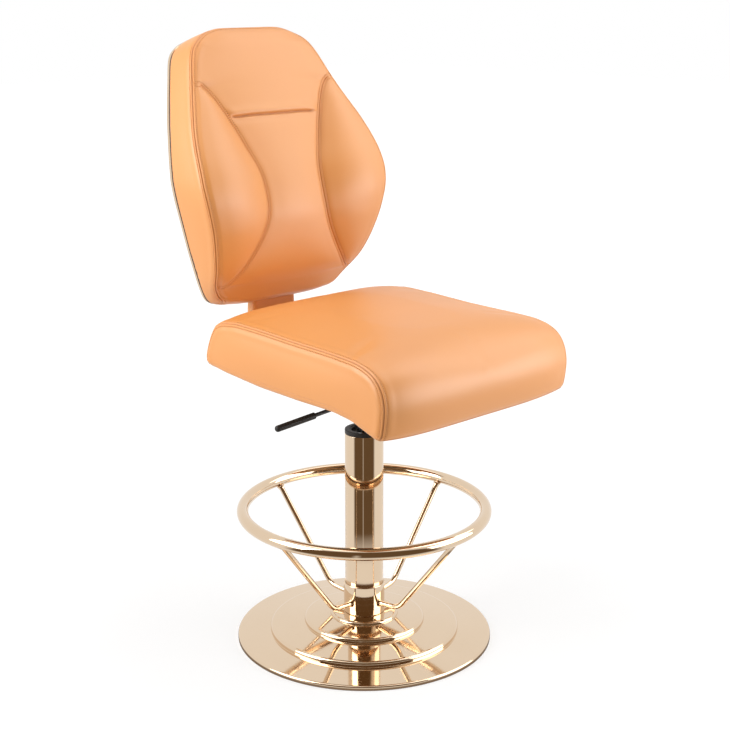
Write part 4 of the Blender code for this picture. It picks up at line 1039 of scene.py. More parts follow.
seat_loop[:, 0] -= 0.006 * np.clip((-0.15 - seat_loop[:, 0]) / 0.14, 0.0, 1.0)
seat_loop += outward_normals(seat_loop) * seat_edge_round * 0.29
seat_normals = outward_normals(seat_loop)
corner_marks = [
    int(np.argmin(np.linalg.norm(seat_loop - np.array(place), axis=1)))
    for place in ((0.198, 0.566), (0.168, 0.650), (-0.272, 0.640), (-0.288, 0.520))
]
print("seat loop", len(seat_loop), "mm, corners at", corner_marks)

# %% [markdown]
# ## Seat cushion: its panels
# Each panel is a grid that follows the side view. The long panel rises towards its middle,
# the strip turns round the long edge, and the side panel fills the loop that is left.

# %% Seat panels
seat_counts = (16, 58, 16, 58)
seat_length = len(seat_loop)
at = []
for side, count in enumerate(seat_counts):
    side_run = (corner_marks[(side + 1) % 4] - corner_marks[side]) % seat_length
    at += [(corner_marks[side] + side_run * step / count) % seat_length for step in range(count)]
at = np.array(at)
outline = loop_read(seat_loop, at)
facing = unit(loop_read(seat_normals, at))
along_seat = ((at - corner_marks[0]) % seat_length) * 0.001
lip_start = ((corner_marks[3] - corner_marks[0]) % seat_length) * 0.001
flat_half = seat_half_width * follow(seat_plan, outline[:, 0]) - seat_edge_round

crown = np.zeros(seat_length)
for side, height in enumerate((0.007, 0.0125, 0.0145, 0.0)):
    crown[stretch_of(seat_length, corner_marks, side) % seat_length] = height
crown = loop_read(blurred(crown, 1800), at)
nose = np.clip((crown - 0.0105) / 0.003, 0, 1)


def seam_distance(s, t):
    """Distance outside (+) or inside (-) the long panel's seam: s along the loop, t across it."""
    in_lip = np.minimum(s - lip_start, seat_length * 0.001 - s)
    beyond = np.where(s > lip_start, in_lip, np.maximum(-s, s - lip_start))
    return np.hypot(np.maximum(beyond, 0), np.maximum(t, 0)) + np.minimum(np.maximum(beyond, t), 0)


def lengthwise_rows(rows):
    """Rows are (distance across, rise, t). They become a grid of points and their distances."""
    points, distances = [], []
    for across, rise, t in rows:
        place = outline + facing * rise[:, None]
        points.append(closed(np.column_stack([across, place])))
        distances.append(closed(seam_distance(along_seat, t)))
    return np.stack(points, axis=1), np.stack(distances, axis=1)


ones = np.ones(len(at))
quarter = seat_edge_round * pi / 4
panel_rows = []
for share in np.linspace(-1.0, 1.0, 55):
    rise = crown * (1 - abs(share) ** (4.2 + 0.8 * nose))
    panel_rows.append((share * flat_half, rise, -(quarter + flat_half * (1 - abs(share)))))
panel, panel_edge = lengthwise_rows(panel_rows)
beside = (0.0015, 0.0030, 0.0046, 0.0066, 0.0090, quarter)
strip_rows = []
for t in [-step for step in reversed(beside)] + [0.0] + list(beside):
    angle = (t + quarter) / seat_edge_round
    across, rise = flat_half + seat_edge_round * sin(angle), seat_edge_round * (cos(angle) - 1)
    strip_rows.append((across, rise * ones, t * ones))
strip, strip_edge = lengthwise_rows(strip_rows)

border = strip[:-1, -1]
starts = np.cumsum((0,) + seat_counts)
rear_side, top_side, nose_side = [border[starts[side]:starts[side + 1] + 1] for side in range(3)]
under_side = np.concatenate([border[starts[3]:], border[:1]])[::-1]
gusset = coons(under_side, top_side, rear_side, nose_side[::-1])
u = np.linspace(0.0, 1.0, gusset.shape[1])[None]
v = np.linspace(0.0, 1.0, gusset.shape[0])[:, None]
gusset[..., 0] += 0.0025 * np.sin(pi * u) ** 0.6 * np.sin(pi * v) ** 0.6
away, index = nearest(gusset, border)
gusset_edge = seam_distance(along_seat[index], away + quarter)
print("seat panel", panel.shape[:2], "strip", strip.shape[:2], "gusset", gusset.shape[:2])

# %% Seat cushion
mirror = np.array([-1.0, 1.0, 1.0])


def held_near(distance, reach=0.0030):
    """1 on a seam and 0 a little away from it."""
    return np.clip(1.6 - np.abs(distance) / reach, 0.0, 1.0)


underside = closed((np.arange(len(at)) >= starts[3]).astype(float))[:, None]
seat_patches = [{"points": panel, "edge": panel_edge, "held": np.maximum(held_near(panel_edge), underside)}]
for side in (np.ones(3), mirror):
    strip_held = np.maximum(held_near(strip_edge), underside)
    seat_patches.append({"points": strip * side, "edge": strip_edge, "held": strip_held})
    seat_patches.append({"points": gusset * side, "edge": gusset_edge, "held": np.clip(1.4 - v * 8, 0, 1)})
seat_mesh = sewn_mesh("cushion_seat", seat_patches)
swell(seat_mesh, 4.0, 0.006)
seat_mesh = made_finer(seat_mesh)
# The last number is the painted shade in the seam's valley.
carve(seat_mesh, [("edge", 0.0058, 0.0016, 1.0)])
print("seat cushion faces", len(seat_mesh.polygons))

# %% [markdown]
# ## Room for the seat board
# The foam sits on a plywood board, so the cushion needs a pocket in its underside. We cut
# it with a block that has the board's outline, six tenths of a millimetre larger.

# %% Board pocket
gap = 0.0003
board_low, board_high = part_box("seat_board")
board_front, board_back, board_half = board_low.y - gap, board_high.y + gap, board_high.x + gap


def board_kick(y):
    """How far the board curves up towards its rear edge."""
    return 0.0150 * (np.maximum(y - 0.060, 0.0) / 0.132) ** 1.5


def board_outline(inset, count=24):
    """The board's outline from above, as a closed loop with softly rounded corners."""
    x, front, back = board_half - inset, board_front + inset, board_back - inset
    right_side = [(x * 0.95, front), (x, front + 0.04), (x, back - 0.04), (x * 0.93, back)]
    left_side = [(-across, y) for across, y in reversed(right_side)]
    loop = softened_loop(left_side[-1:] + right_side + left_side[:-1], 0.003)
    return loop[:: max(1, len(loop) // (count * 8))]


def slab(name, loop, top, bottom):
    """A closed slab with this outline. Its faces follow the upward curve at the rear."""
    middle = loop.mean(axis=0)
    rings = []
    for level, shares in ((top, (0.0, 0.5, 0.9, 1.0)), (bottom, (1.0, 0.9, 0.5, 0.0))):
        for share in shares:
            flat = middle + (loop - middle) * share
            rings.append(closed(np.column_stack([flat, level + board_kick(flat[:, 1])])))
    return mesh_from_patches(name, [np.array(rings)])


board_top = board_high.z - board_kick(board_high.y)
seat_mesh = cut_with(seat_mesh, slab("pocket", board_outline(-gap), board_top + gap, board_low.z - 0.05))
seat_cushion = add_piece("cushion_seat", seat_mesh, tan, "seat", "seat_cushion")

# %% [markdown]
# ## Back cushion: outline and depth
# Seen from the front the back is waisted: narrow at the foot, widest a little below the
# middle, narrow again at the top. A table gives its half width at each height. Others give
# how far its centre panel and its edges stand forward, and where the inner seams run.

# %% Back tables
back_low, back_height, back_plane = 0.6461, 0.5200, 0.2765
back_half = 0.2340
cushion_depth = 0.096
rear_rim = 0.0015
back_outline = (
    (0.000, 0.400), (0.006, 0.530), (0.016, 0.660), (0.037, 0.712), (0.103, 0.770), (0.232, 0.859),
    (0.372, 0.943), (0.433, 0.980), (0.498, 1.000), (0.565, 0.985), (0.623, 0.959), (0.697, 0.910),
    (0.782, 0.828), (0.869, 0.738), (0.915, 0.692), (0.947, 0.640), (0.975, 0.540), (1.000, 0.360),
)
edge_depths = (
    (0.000, 0.290), (0.067, 0.400), (0.107, 0.515), (0.163, 0.715), (0.218, 0.855), (0.278, 0.963),
    (0.339, 1.038), (0.419, 1.065), (0.495, 1.030), (0.565, 0.962), (0.620, 0.890), (0.681, 0.830),
    (0.796, 0.768), (0.912, 0.735), (1.000, 0.730),
)
panel_depths = (
    (0.000, 0.400), (0.087, 0.540), (0.148, 0.710), (0.218, 0.823), (0.298, 0.896), (0.374, 0.920),
    (0.449, 0.840), (0.530, 0.750), (0.605, 0.680), (0.681, 0.672), (0.761, 0.712), (0.832, 0.745),
    (0.932, 0.752), (1.000, 0.750),
)
seam_widths = (
    (0.080, 0.2150), (0.094, 0.1800), (0.108, 0.1610), (0.130, 0.1460), (0.163, 0.1310), (0.219, 0.1095),
    (0.296, 0.0870), (0.373, 0.0743), (0.450, 0.0723), (0.527, 0.0760), (0.604, 0.0907), (0.681, 0.1076),
    (0.757, 0.1290), (0.800, 0.1440), (0.830, 0.1620), (0.850, 0.1850), (0.865, 0.2150),
)
front_wider = (
    (0.00, -0.070), (0.05, -0.040), (0.12, 0.005), (0.20, 0.014), (0.33, 0.012), (0.50, 0.006), (0.63, 0.008),
    (0.77, -0.002), (0.92, -0.005), (1.00, -0.024),
)
front_raised = (
    (0.00, 0.0110), (0.04, 0.0080), (0.10, 0.0032), (0.17, 0.0), (0.78, 0.0), (0.90, 0.0070), (1.00, 0.0220),
)


def rear_line(height):
    """How far back the rear face has leaned at a height above the back's bottom edge."""
    over = np.maximum(height - 0.214, 0.0)
    return 0.54 * np.where(over < 0.160, over ** 2 / 0.320, over - 0.080)


def back_point(x, height, depth, front):
    """A point of the cushion. front is the depth of the front face there."""
    forward = np.clip((depth - rear_rim) / np.maximum(front - rear_rim, 1e-6), 0.0, 1.0)
    share = height / back_height
    wider, raised = (follow(keys, share.ravel()).reshape(share.shape) for keys in (front_wider, front_raised))
    z = back_low + height + raised * forward + 0.0030 * np.clip(1 - share / 0.10, 0.0, 1.0)
    return np.stack([x * (1 + wider * forward), back_plane + rear_line(height) - depth, z], axis=-1)


def facing_index(x, z):
    """Where the outline faces halfway between two sides."""
    return int(np.argmax(back_normals @ (np.array([x, z]) / sqrt(2))))


right_side = [(share_width * back_half, share * back_height) for share, share_width in back_outline]
back_loop = softened_loop(right_side + [(-x, z) for x, z in reversed(right_side)], 0.0090)
back_normals = outward_normals(back_loop)
back_length = len(back_loop)
back_corners = [facing_index(1, -1), facing_index(1, 1), facing_index(-1, 1), facing_index(-1, -1)]
corner_reach = 28
edge_round = np.full(back_length, 0.0090)
for side, round_here in ((1, 0.0190), (3, 0.0120)):
    positions = stretch_of(back_length, back_corners, side)[corner_reach:-corner_reach]
    edge_round[positions % back_length] = round_here
edge_round = blurred(edge_round, 300)
inset_loop = back_loop - back_normals * edge_round[:, None]
print("back loop", back_length, "mm, corners at", back_corners)

# %% [markdown]
# ## Back cushion: the front
# The front is one grid. Its rows run across and its columns follow the inner seams, closer
# together beside a seam and beside the tuck, where the cover will need the detail.

# %% Rows of the back's front
side_length = (back_corners[1] - back_corners[0]) % back_length
tuck_height = 0.390
side_x, side_z = loop_read(inset_loop, back_corners[0] + np.arange(side_length)).T
tuck_position = int(np.argmin(np.abs(side_z - tuck_height + 0.017)))
room_at = side_x - follow(seam_widths, side_z / back_height)
foot_meet, head_meet = np.nonzero(room_at > 0)[0][[0, -1]]
print("inner seams meet the edge", foot_meet, "and", head_meet, "mm up the side")
marks = [0, 1.5, 3, 5, 7.5]
marks += [foot_meet + step for step in range(-8, 24, 2)]
marks += [tuck_position + step for step in (-8, -5, -3, -1.5, 0, 1.5, 3, 5, 8, 12, 16)]
marks += [head_meet + step for step in range(-22, 10, 2)]
marks += [side_length - step for step in (7.5, 5, 3, 1.5, 0)]
side_at = filled(marks, 8.0) + back_corners[0]
tuck_row = int(np.argmin(np.abs(side_at - back_corners[0] - tuck_position)))
side_points = loop_read(inset_loop, side_at)
rows = len(side_at)


def edge_curve(first, last):
    """x and height along the foot or the head of the inset outline, left to right."""
    positions = (first + np.arange((last - first) % back_length + 1)) % back_length
    points = inset_loop[positions]
    order = np.argsort(points[:, 0])
    return points[order], positions[order]


foot_curve, foot_positions = edge_curve(back_corners[3], back_corners[0])
head_curve, head_positions = edge_curve(back_corners[1], back_corners[2])


def half_columns(seam_x, edge_x):
    """Places across the right half, from the centre to the edge. The counts never change."""
    tight = min(1.0, (edge_x - seam_x) / 0.026)
    steps = (0.0013, 0.0027, 0.0040, 0.0055, 0.0075, 0.0105)
    inside = [seam_x - step for step in reversed(steps)]
    centre = list(np.linspace(0.0, inside[0], 9)) + inside[1:] + [seam_x]
    beside = [seam_x + step * tight for step in steps]
    near_edge = [edge_x - step * tight for step in (0.0080, 0.0055, 0.0035, 0.0015, 0.0)]
    return centre + beside + list(np.linspace(beside[-1], near_edge[0], 9))[1:] + near_edge[1:]


def depth_across(x, seam_x, edge_x, height, present):
    """Depth of the front face. present is 1 where the inner seams run and 0 beyond their ends."""
    share = height / back_height
    panel = smooth_follow(panel_depths, share) * cushion_depth
    edge = max(smooth_follow(edge_depths, share), 0.0) * cushion_depth + 0.0026
    room = edge_x - seam_x
    if x <= seam_x:
        fullness = 2.0 + 3.0 * min(1.0, abs(share - 0.47) / 0.40) ** 2
        seamed = panel - 0.001 + 0.008 * (1 - (x / seam_x) ** fullness)
    else:
        t = (x - seam_x) / max(room, 1e-6)
        bulge = (max(edge, panel) + 0.0058 - (panel + edge) / 2) * min(1.0, room / 0.05)
        seamed = (panel - 0.001) * (1 - t) + edge * t + bulge * (4 * t * (1 - t)) ** 0.9
    plain = edge + (panel + 0.007 - edge) * (1 - (x / edge_x) ** 3.2)
    return plain + (seamed - plain) * present


# %% The back's front, as a grid
path_x = follow(seam_widths, side_points[:, 1] / back_height)
seam_at = np.minimum(path_x, side_points[:, 0] - 0.0100)
present = np.clip((side_points[:, 0] - path_x) / 0.022, 0.0, 1.0)
present = present * present * (3 - 2 * present)
right_half = np.array([half_columns(seam_x, edge_x) for seam_x, edge_x in zip(seam_at, side_points[:, 0])])
front_x = np.concatenate([-right_half[:, :0:-1], right_half], axis=1)
foot_z = np.interp(front_x[0], foot_curve[:, 0], foot_curve[:, 1])
head_z = np.interp(front_x[-1], head_curve[:, 0], head_curve[:, 1])
v = np.linspace(0.0, 1.0, rows)[:, None]
front_z = side_points[:, 1:] + (1 - v) ** 3 * (foot_z - foot_z[-1]) + v ** 3 * (head_z - head_z[-1])
front_depth = np.empty_like(front_x)
for row, column in np.ndindex(front_x.shape):
    x, z = abs(front_x[row, column]), front_z[row, column]
    front_depth[row, column] = depth_across(x, seam_at[row], side_points[row, 0], z, present[row])
front = back_point(front_x, front_z, front_depth, front_depth)
columns = front_x.shape[1]
seam_column = columns // 2 + 14
print("back front grid", front_x.shape, "seam column", seam_column, "tuck row", tuck_row)

# %% [markdown]
# ## Back cushion: round the edge to the rear
# From the front grid's border the cover turns round the edge and runs back as a gusset to
# the rear rim. Each border point gets the same list of stations: round the edge, along the
# gusset, round the rim and into the pocket that holds the board.

# %% The border of the back's front
def curve_values(curve, positions, x):
    """Outline point, normal, rounding and distance from the ends where a curve passes each x."""
    tables = [values[positions] for values in (back_loop, back_normals, edge_round[:, None])]
    run = lengths_along(tables[0])
    tables.append(np.minimum(run, run[-1] - run)[:, None])
    return [np.stack([np.interp(x, curve[:, 0], line) for line in table.T], axis=1) for table in tables]


foot_values = curve_values(foot_curve, foot_positions, front_x[0])
head_values = curve_values(head_curve, head_positions, front_x[-1])
side_run = (side_at - back_corners[0])[:, None] * 0.001
side_values = [loop_read(values, side_at) for values in (back_loop, back_normals, edge_round[:, None])]
side_values.append(-side_run)
head_values[3][:] = -side_run[-1]
left_values = [side_values[0] * mirror[:2], side_values[1] * mirror[:2], *side_values[2:]]


def round_trip(foot, side, head, left):
    """One closed row of values: foot, right side, head, left side, and the first again."""
    return np.vstack([foot[:-1], side[:-1], head[::-1][:-1], left[::-1]])


border_place, border_normal, border_round, beyond = [
    round_trip(*values) for values in zip(foot_values, side_values, head_values, left_values)
]
border_normal = unit(border_normal)
border_round = border_round[:, 0]
depths = [line[:, None] for line in (front_depth[0], front_depth[:, -1], front_depth[-1], front_depth[:, 0])]
border_depth = round_trip(*depths)[:, 0]
seam_turn = radians(57) + radians(21) * np.clip((border_normal[:, 1] - 0.45) / 0.45, 0.0, 1.0)
beyond = beyond[:, 0] - float(foot_values[3][seam_column, 0])
border_ones = np.ones(len(border_place))
print("border points", len(border_place))


# %% Edge, gusset and rear of the back
def station(inset, depth):
    """The border, moved inwards and set at a depth in front of the rear plane."""
    place = border_place - border_normal * (inset * border_ones)[:, None]
    return back_point(place[:, 0], place[:, 1], depth * border_ones, border_depth)


def panel_distance(past, t, corner=0.016):
    """Distance from the gusset's seam: negative inside the gusset, whose corners are round."""
    q1, q2 = past + corner, corner - t
    return np.hypot(np.maximum(q1, 0), np.maximum(q2, 0)) + np.minimum(np.maximum(q1, q2), 0) - corner


def four_borders(ring):
    """A closed row of border points as foot, head, left side and right side."""
    side_end, head_end = columns - 1 + rows - 1, 2 * (columns - 1) + rows - 1
    foot, side = ring[:columns], ring[columns - 1:side_end + 1]
    head, left = ring[side_end:head_end + 1][::-1], ring[head_end:][::-1]
    return foot, head, left, side


rim_round, pocket_inset = 0.004, 0.0097
stations = []
turns = [seam_turn * share for share in (0.0, 0.30, 0.55, 0.74, 0.86, 0.94, 1.0)]
turns += [seam_turn + (pi / 2 - seam_turn) * share for share in (0.15, 0.38, 0.68, 1.0)]
for angle in turns:
    ring = station(border_round * (1 - np.sin(angle)), border_depth - border_round * (1 - np.cos(angle)))
    stations.append((ring, panel_distance(beyond, border_round * (angle - seam_turn))))
wall_top, wall_low = border_depth - border_round, rear_rim + rim_round
for step in range(1, 11):
    share = step / 10
    depth = wall_top + (wall_low - wall_top) * share
    past_seam = border_round * (pi / 2 - seam_turn) + wall_top - depth
    stations.append((station(-0.0012 * sin(pi * share), depth), panel_distance(beyond, past_seam)))
for angle in (0.25 * pi, 0.5 * pi):
    ring = station(rim_round * (1 - cos(angle)), rear_rim + rim_round * (1 - sin(angle)))
    stations.append((ring, far_away * border_ones))
for depth in (rear_rim, 0.0133):
    stations.append((station(pocket_inset, depth), far_away * border_ones))
wrap, wrap_edge = [np.array(values) for values in zip(*stations)]
pocket_floor = coons(*four_borders(wrap[-1]))
away, index = nearest(front, wrap[0])
front_edge = panel_distance(beyond[index], -(away + border_round[index] * seam_turn[index]))
print("stations", len(stations))

# %% [markdown]
# ## Back cushion: seams, tuck and swelling
# Where the inner seams and the tuck run, every point learns how far away it is. The inner
# seams run on round the edge until they meet the edge seam. The sign of `inner_side` says
# on which side of them a point lies. Beyond their ends nothing stiffens the cover, so a
# wider band beside the edge seam is held there. Then it is swollen like the seat.

# %% Distances from the inner seams and the tuck
seam_rows = np.nonzero(path_x <= side_points[:, 0])[0]
first_row, last_row = seam_rows[0], seam_rows[-1]
seam_line = [[np.interp(path_x[row], front_x[row], front[row, :, k]) for k in range(3)] for row in seam_rows]
foot_end, head_end = [wrap[:7, columns - 1 + row] for row in (first_row, last_row)]
seam_line = np.vstack([foot_end[::-1], np.array(seam_line), head_end])
seam_line = read_along(seam_line, np.arange(0, lengths_along(seam_line)[-1], 0.00025))
both_seams = np.vstack([seam_line, seam_line * mirror])
inner_away, _ = nearest(front, both_seams)
inner_side = np.where(np.abs(front_x) > path_x[:, None], inner_away, -inner_away)
wrap_away, _ = nearest(wrap, both_seams)
beside_seam = np.zeros(len(border_place), dtype=bool)
beside_seam[columns - 1 + first_row:columns + last_row] = True
left_end = 2 * (columns - 1 + rows - 1)
beside_seam[left_end - last_row:left_end - first_row + 1] = True
wrap_side = np.where(beside_seam[None], wrap_away, -wrap_away)

tuck_line = front[tuck_row]
tuck_line = tuck_line[(tuck_line[:, 0] > -0.108) & (tuck_line[:, 0] < 0.100)]
tuck_away, _ = nearest(front, read_along(tuck_line, np.arange(0, lengths_along(tuck_line)[-1], 0.001)))
print("rows between the inner seams' ends", len(seam_rows))

# %% Back cushion
front_held = np.maximum(held_near(front_edge), held_near(inner_away) * 0.9)
front_held = np.maximum(front_held, held_near(tuck_away) * 0.9)
front_held = np.maximum(front_held, held_near(front_edge, 0.010) * (1.0 - present)[:, None])
wrap_held = np.maximum(held_near(wrap_edge), held_near(wrap_away))
wrap_held[-6:] = 1.0
front_patch = {
    "points": front,
    "edge": front_edge,
    "inner": inner_away,
    "inner_side": inner_side,
    "tuck": tuck_away,
    "above": (np.arange(rows) >= tuck_row)[:, None].astype(float),
    "held": front_held,
}
wrap_patch = {
    "points": wrap,
    "edge": wrap_edge,
    "inner": wrap_away,
    "inner_side": wrap_side,
    "held": wrap_held,
}
back_mesh = sewn_mesh("cushion_back", [front_patch, wrap_patch, {"points": pocket_floor, "held": 1.0}])
swell(back_mesh, 4.0, 0.005)
back_mesh = made_finer(back_mesh)
# The last number of each seam is its painted shade, and the tuck gets painted shade too.
carve(back_mesh, [("edge", 0.0050, 0.0015, 1.0), ("inner", 0.0048, 0.0008, 0.5)], tuck_depth=0.0050)
back_cushion = add_piece("cushion_back", back_mesh, tan, "seat", "back_cushion")

# %% [markdown]
# ## Back board
# The plywood board fills the cushion's pocket, with the same outline three tenths of a
# millimetre smaller, and holes where the bolts and screws pass.

# %% Back board
near, far = station(pocket_inset + gap, 0.0010), station(pocket_inset + gap, 0.0130)
board_patches = [coons(*four_borders(near)), np.array([near, far]), coons(*four_borders(far))]
tools = []
for number in "1234":
    tools.append(hole_tool("bracket_back_bolt_" + number, 0.0043, 0.12))
    tools.append(hole_tool("shell_screw_" + number, 0.0023, 0.12))
board_mesh = cut_with(mesh_from_patches("board_back", board_patches), *tools)
add_piece("board_back", board_mesh, ply, "seat", "back_board", smooth=False)

# %% [markdown]
# ## Trim bead and metal shell
# A thin dark bead closes the joint between leather and metal. The shell behind it is one
# pressed sheet: a short upright lip, a small round, and a face that bulges slightly.

# %% Trim bead
shell_inset = back_half - 0.2310
trim_radius, trim_behind = 0.0024, 0.0012
sleeve_opening = 0.0580


def behind_line(inset, behind, step, share=1.0):
    """The outline moved inwards, drawn towards its centre, and set behind the rear plane."""
    place = back_loop[::step] - back_normals[::step] * inset
    centre = back_height * 0.5
    height = centre + (place[:, 1] - centre) * share
    return np.column_stack([place[:, 0] * share, back_plane + rear_line(height) + behind, back_low + height])


bead = behind_line(shell_inset + 0.0026, trim_behind, 5)
bead = np.roll(bead, -int(np.argmin(np.abs(bead[:, 0]) + bead[:, 2])), axis=0)
bead = bead[(np.abs(bead[:, 0]) > sleeve_opening) | (bead[:, 2] > back_low + 0.1)]
trim_mesh = swept_mesh("trim_bead", bead, [trim_radius] * len(bead), 16)
add_piece("trim_bead", trim_mesh, trim_leather, "seat", "back_trim")

# %% Metal shell
shell_depth, shell_wall, shell_round, shell_bulge = 0.0090, 0.0020, 0.0040, 0.0120
lip_behind = trim_behind + trim_radius + gap


def shell_side(inwards):
    """Rings of one face of the sheet: up the lip, round the bend and over to the centre."""
    flat = lip_behind + shell_depth - inwards
    turn = max(shell_round - inwards, 0.001)
    steps = [(inwards, lip_behind + (shell_depth - shell_round) * step / 5, 1.0) for step in range(6)]
    for step in range(1, 7):
        angle = step * pi / 12
        steps.append((inwards + turn * (1 - cos(angle)), flat - turn * (1 - sin(angle)), 1.0))
    for share in np.linspace(1.0, 0.0, 26)[1:]:
        steps.append((inwards + turn, flat + shell_bulge * (1 - share ** 2), share))
    return [closed(behind_line(shell_inset + inset, behind, 4, share)) for inset, behind, share in steps]


shell_rings = np.array(shell_side(0.0)[::-1] + shell_side(shell_wall))
bar_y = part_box("back_bracket")[1].y
bar_slot = box_tool((-0.048, bar_y - 0.014, back_low - 0.01), (0.048, bar_y + 0.003, back_low + 0.004))
screw_holes = [hole_tool("shell_screw_" + number, 0.0023, 0.06) for number in "1234"]
shell_mesh = cut_with(mesh_from_patches("shell", [shell_rings]), bar_slot, *screw_holes)
add_piece("shell", shell_mesh, polished_shell, "seat", "back_shell", sharp=40)

# %% [markdown]
# ## Leather sleeve on the bracket
# A short padded sleeve hides the steel bar between seat and back. It is a rounded box of
# leather, slightly fuller in the middle. The seam that closes it at the rear is not drawn.

# %% Bracket sleeve
def rounded_rectangle(half_x, half_y, centre_y, radius, count=16):
    made = []
    for corner_x, corner_y, start in ((1, 1, 0.0), (-1, 1, 0.5), (-1, -1, 1.0), (1, -1, 1.5)):
        for step in range(count + 1):
            angle = (start + 0.5 * step / count) * pi
            x = corner_x * (half_x - radius) + radius * cos(angle)
            made.append((x, centre_y + corner_y * (half_y - radius) + radius * sin(angle)))
    return closed(np.array(made))


def even_loop(points, count=140):
    """The same closed line in equal steps."""
    return read_along(points, np.linspace(0, lengths_along(points)[-1], count + 1))


def sleeve_ring(inset, z, bulge=0.0):
    """One level of the sleeve and its held numbers. Its front rises towards the back cushion."""
    half_x, half_y = sleeve_high.x - inset + bulge, sleeve_half_y - inset + bulge
    loop = even_loop(rounded_rectangle(half_x, half_y, sleeve_y, 0.0080))
    upper = max(0.0, (z - sleeve_low.z) / (sleeve_high.z - sleeve_low.z) - 0.5) * 2
    z_here = z + 0.0110 * upper * np.clip((back_plane - loop[:, 1]) / 0.005, 0.0, 1.0)
    return np.column_stack([loop, z_here]), np.full(len(loop), 0.0 if bulge else 1.0)


sleeve_low, sleeve_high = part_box("bracket_sleeve")
sleeve_y, sleeve_half_y = (sleeve_low.y + sleeve_high.y) / 2, (sleeve_high.y - sleeve_low.y) / 2
sleeve_round, bar_thickness = 0.002, 0.008
lower = [sleeve_round * (1 - sin(radians(angle))) for angle in (90, 60, 30, 0)]
insets = [sleeve_round * (1 - cos(radians(angle))) for angle in (90, 60, 30, 0)]
levels = [sleeve_ring(inset, sleeve_low.z + drop) for inset, drop in zip(insets, lower)]
wall = sleeve_high.z - sleeve_low.z - 2 * sleeve_round
for step in range(1, 14):
    share = step / 14
    levels.append(sleeve_ring(0.0, sleeve_low.z + sleeve_round + wall * share, 0.0006 * sin(pi * share)))
levels += [sleeve_ring(inset, sleeve_high.z - drop) for inset, drop in zip(insets[::-1], lower[::-1])]
hole = even_loop(rounded_rectangle(0.0456, bar_thickness / 2 + 0.0006, bar_y - bar_thickness / 2, 0.0006, 1))
for z in (sleeve_high.z, sleeve_low.z):
    levels.append((np.column_stack([hole, np.full(len(hole), z)]), np.ones(len(hole))))
rings, held = [closed(np.array(values)) for values in zip(*levels)]
sleeve_mesh = sewn_mesh("sleeve", [{"points": rings, "held": held}])
swell(sleeve_mesh, 3.0, 0.0012)
sleeve = add_piece("sleeve", made_finer(sleeve_mesh), tan, "seat", "bracket_sleeve")

# %% [markdown]
# ## Stitches
# Every seam has a row of thread on each side, about six stitches to the inch. One small
# stitch is copied to all the places by Geometry Nodes. The places carry two directions,
# along the seam and out of the leather, so each copy lies in its row.

# %% Stitch pattern and node tree
def pill_mesh(name, length, width, height, sides=6, rings=3):
    """A small rounded stitch, lying along X and bowed up in the middle."""
    angles = np.linspace(0, 2 * pi, sides + 1)
    patch = []
    for ring in range(rings + 2):
        off = 2 * ring / (rings + 1) - 1
        full = sqrt(max(0.0, 1 - off ** 4)) / 2
        x, bow = off * length / 2, height * 0.5 * (1 - off ** 2)
        patch.append([(x, width * full * cos(a), bow + height * full * sin(a)) for a in angles])
    return mesh_from_patches(name, [np.array(patch)])


def dot_mesh(name, radius, thickness, sides=8):
    """A thin round dot of painted shade that marks a needle hole."""
    outline = [(0.0, thickness), (radius, thickness), (radius, 0.0), (0.0, 0.0)]
    angles = np.linspace(0, 2 * pi, sides + 1)
    patch = [[(x * cos(a), x * sin(a), z) for a in angles] for x, z in outline]
    return mesh_from_patches(name, [np.array(patch)])


def scatter_tree():
    """Copies a pattern to each point, turned by the point's along and out directions."""
    group = bpy.data.node_groups.new("Copies in a row", "GeometryNodeTree")
    inputs = (
        ("Geometry", "Geometry", None), ("Pattern", "Object", None), ("Finish", "Material", None),
        ("Turn", "Float", 0.06), ("Seed", "Int", 7),
    )
    for name, kind, default in inputs:
        made = group.interface.new_socket(name, in_out="INPUT", socket_type="NodeSocket" + kind)
        if default:
            made.default_value = default
    group.interface.new_socket("Geometry", in_out="OUTPUT", socket_type="NodeSocketGeometry")
    tree = Tree(group)
    given = tree.node("NodeGroupInput").outputs
    stored = "GeometryNodeInputNamedAttribute"
    along = tree.node(stored, {"data_type": "FLOAT_VECTOR"}, Name="along").outputs["Attribute"]
    out = tree.node(stored, {"data_type": "FLOAT_VECTOR"}, Name="out").outputs["Attribute"]
    align = "FunctionNodeAlignRotationToVector"
    upright = tree.node(align, {"axis": "Z"}, Vector=out).outputs[0]
    ahead = tree.node(align, {"axis": "X", "pivot_axis": "Z"}, Rotation=upright, Vector=along).outputs[0]
    spread = tree.node("ShaderNodeCombineXYZ", None, Z=given["Turn"]).outputs[0]
    back = tree.node("ShaderNodeVectorMath", {"operation": "SCALE"}, spread, Scale=-1.0).outputs[0]
    random = tree.node(
        "FunctionNodeRandomValue", {"data_type": "FLOAT_VECTOR"}, Min=back, Max=spread, Seed=given["Seed"]
    )
    turn = tree.node("FunctionNodeEulerToRotation", None, random.outputs[0]).outputs[0]
    turned = tree.node(
        "FunctionNodeRotateRotation", {"rotation_space": "LOCAL"}, Rotation=ahead, Rotate_By=turn
    )
    pattern = tree.node("GeometryNodeObjectInfo", None, Object=given["Pattern"]).outputs["Geometry"]
    where = {"Points": given["Geometry"], "Instance": pattern, "Rotation": turned.outputs[0]}
    copies = tree.node("GeometryNodeInstanceOnPoints", None, **where).outputs[0]
    real = tree.node("GeometryNodeRealizeInstances", None, copies).outputs[0]
    dressed = tree.node("GeometryNodeSetMaterial", None, Geometry=real, Material=given["Finish"])
    tree.node("NodeGroupOutput", None, dressed.outputs[0])
    return group


copies_tree = scatter_tree()


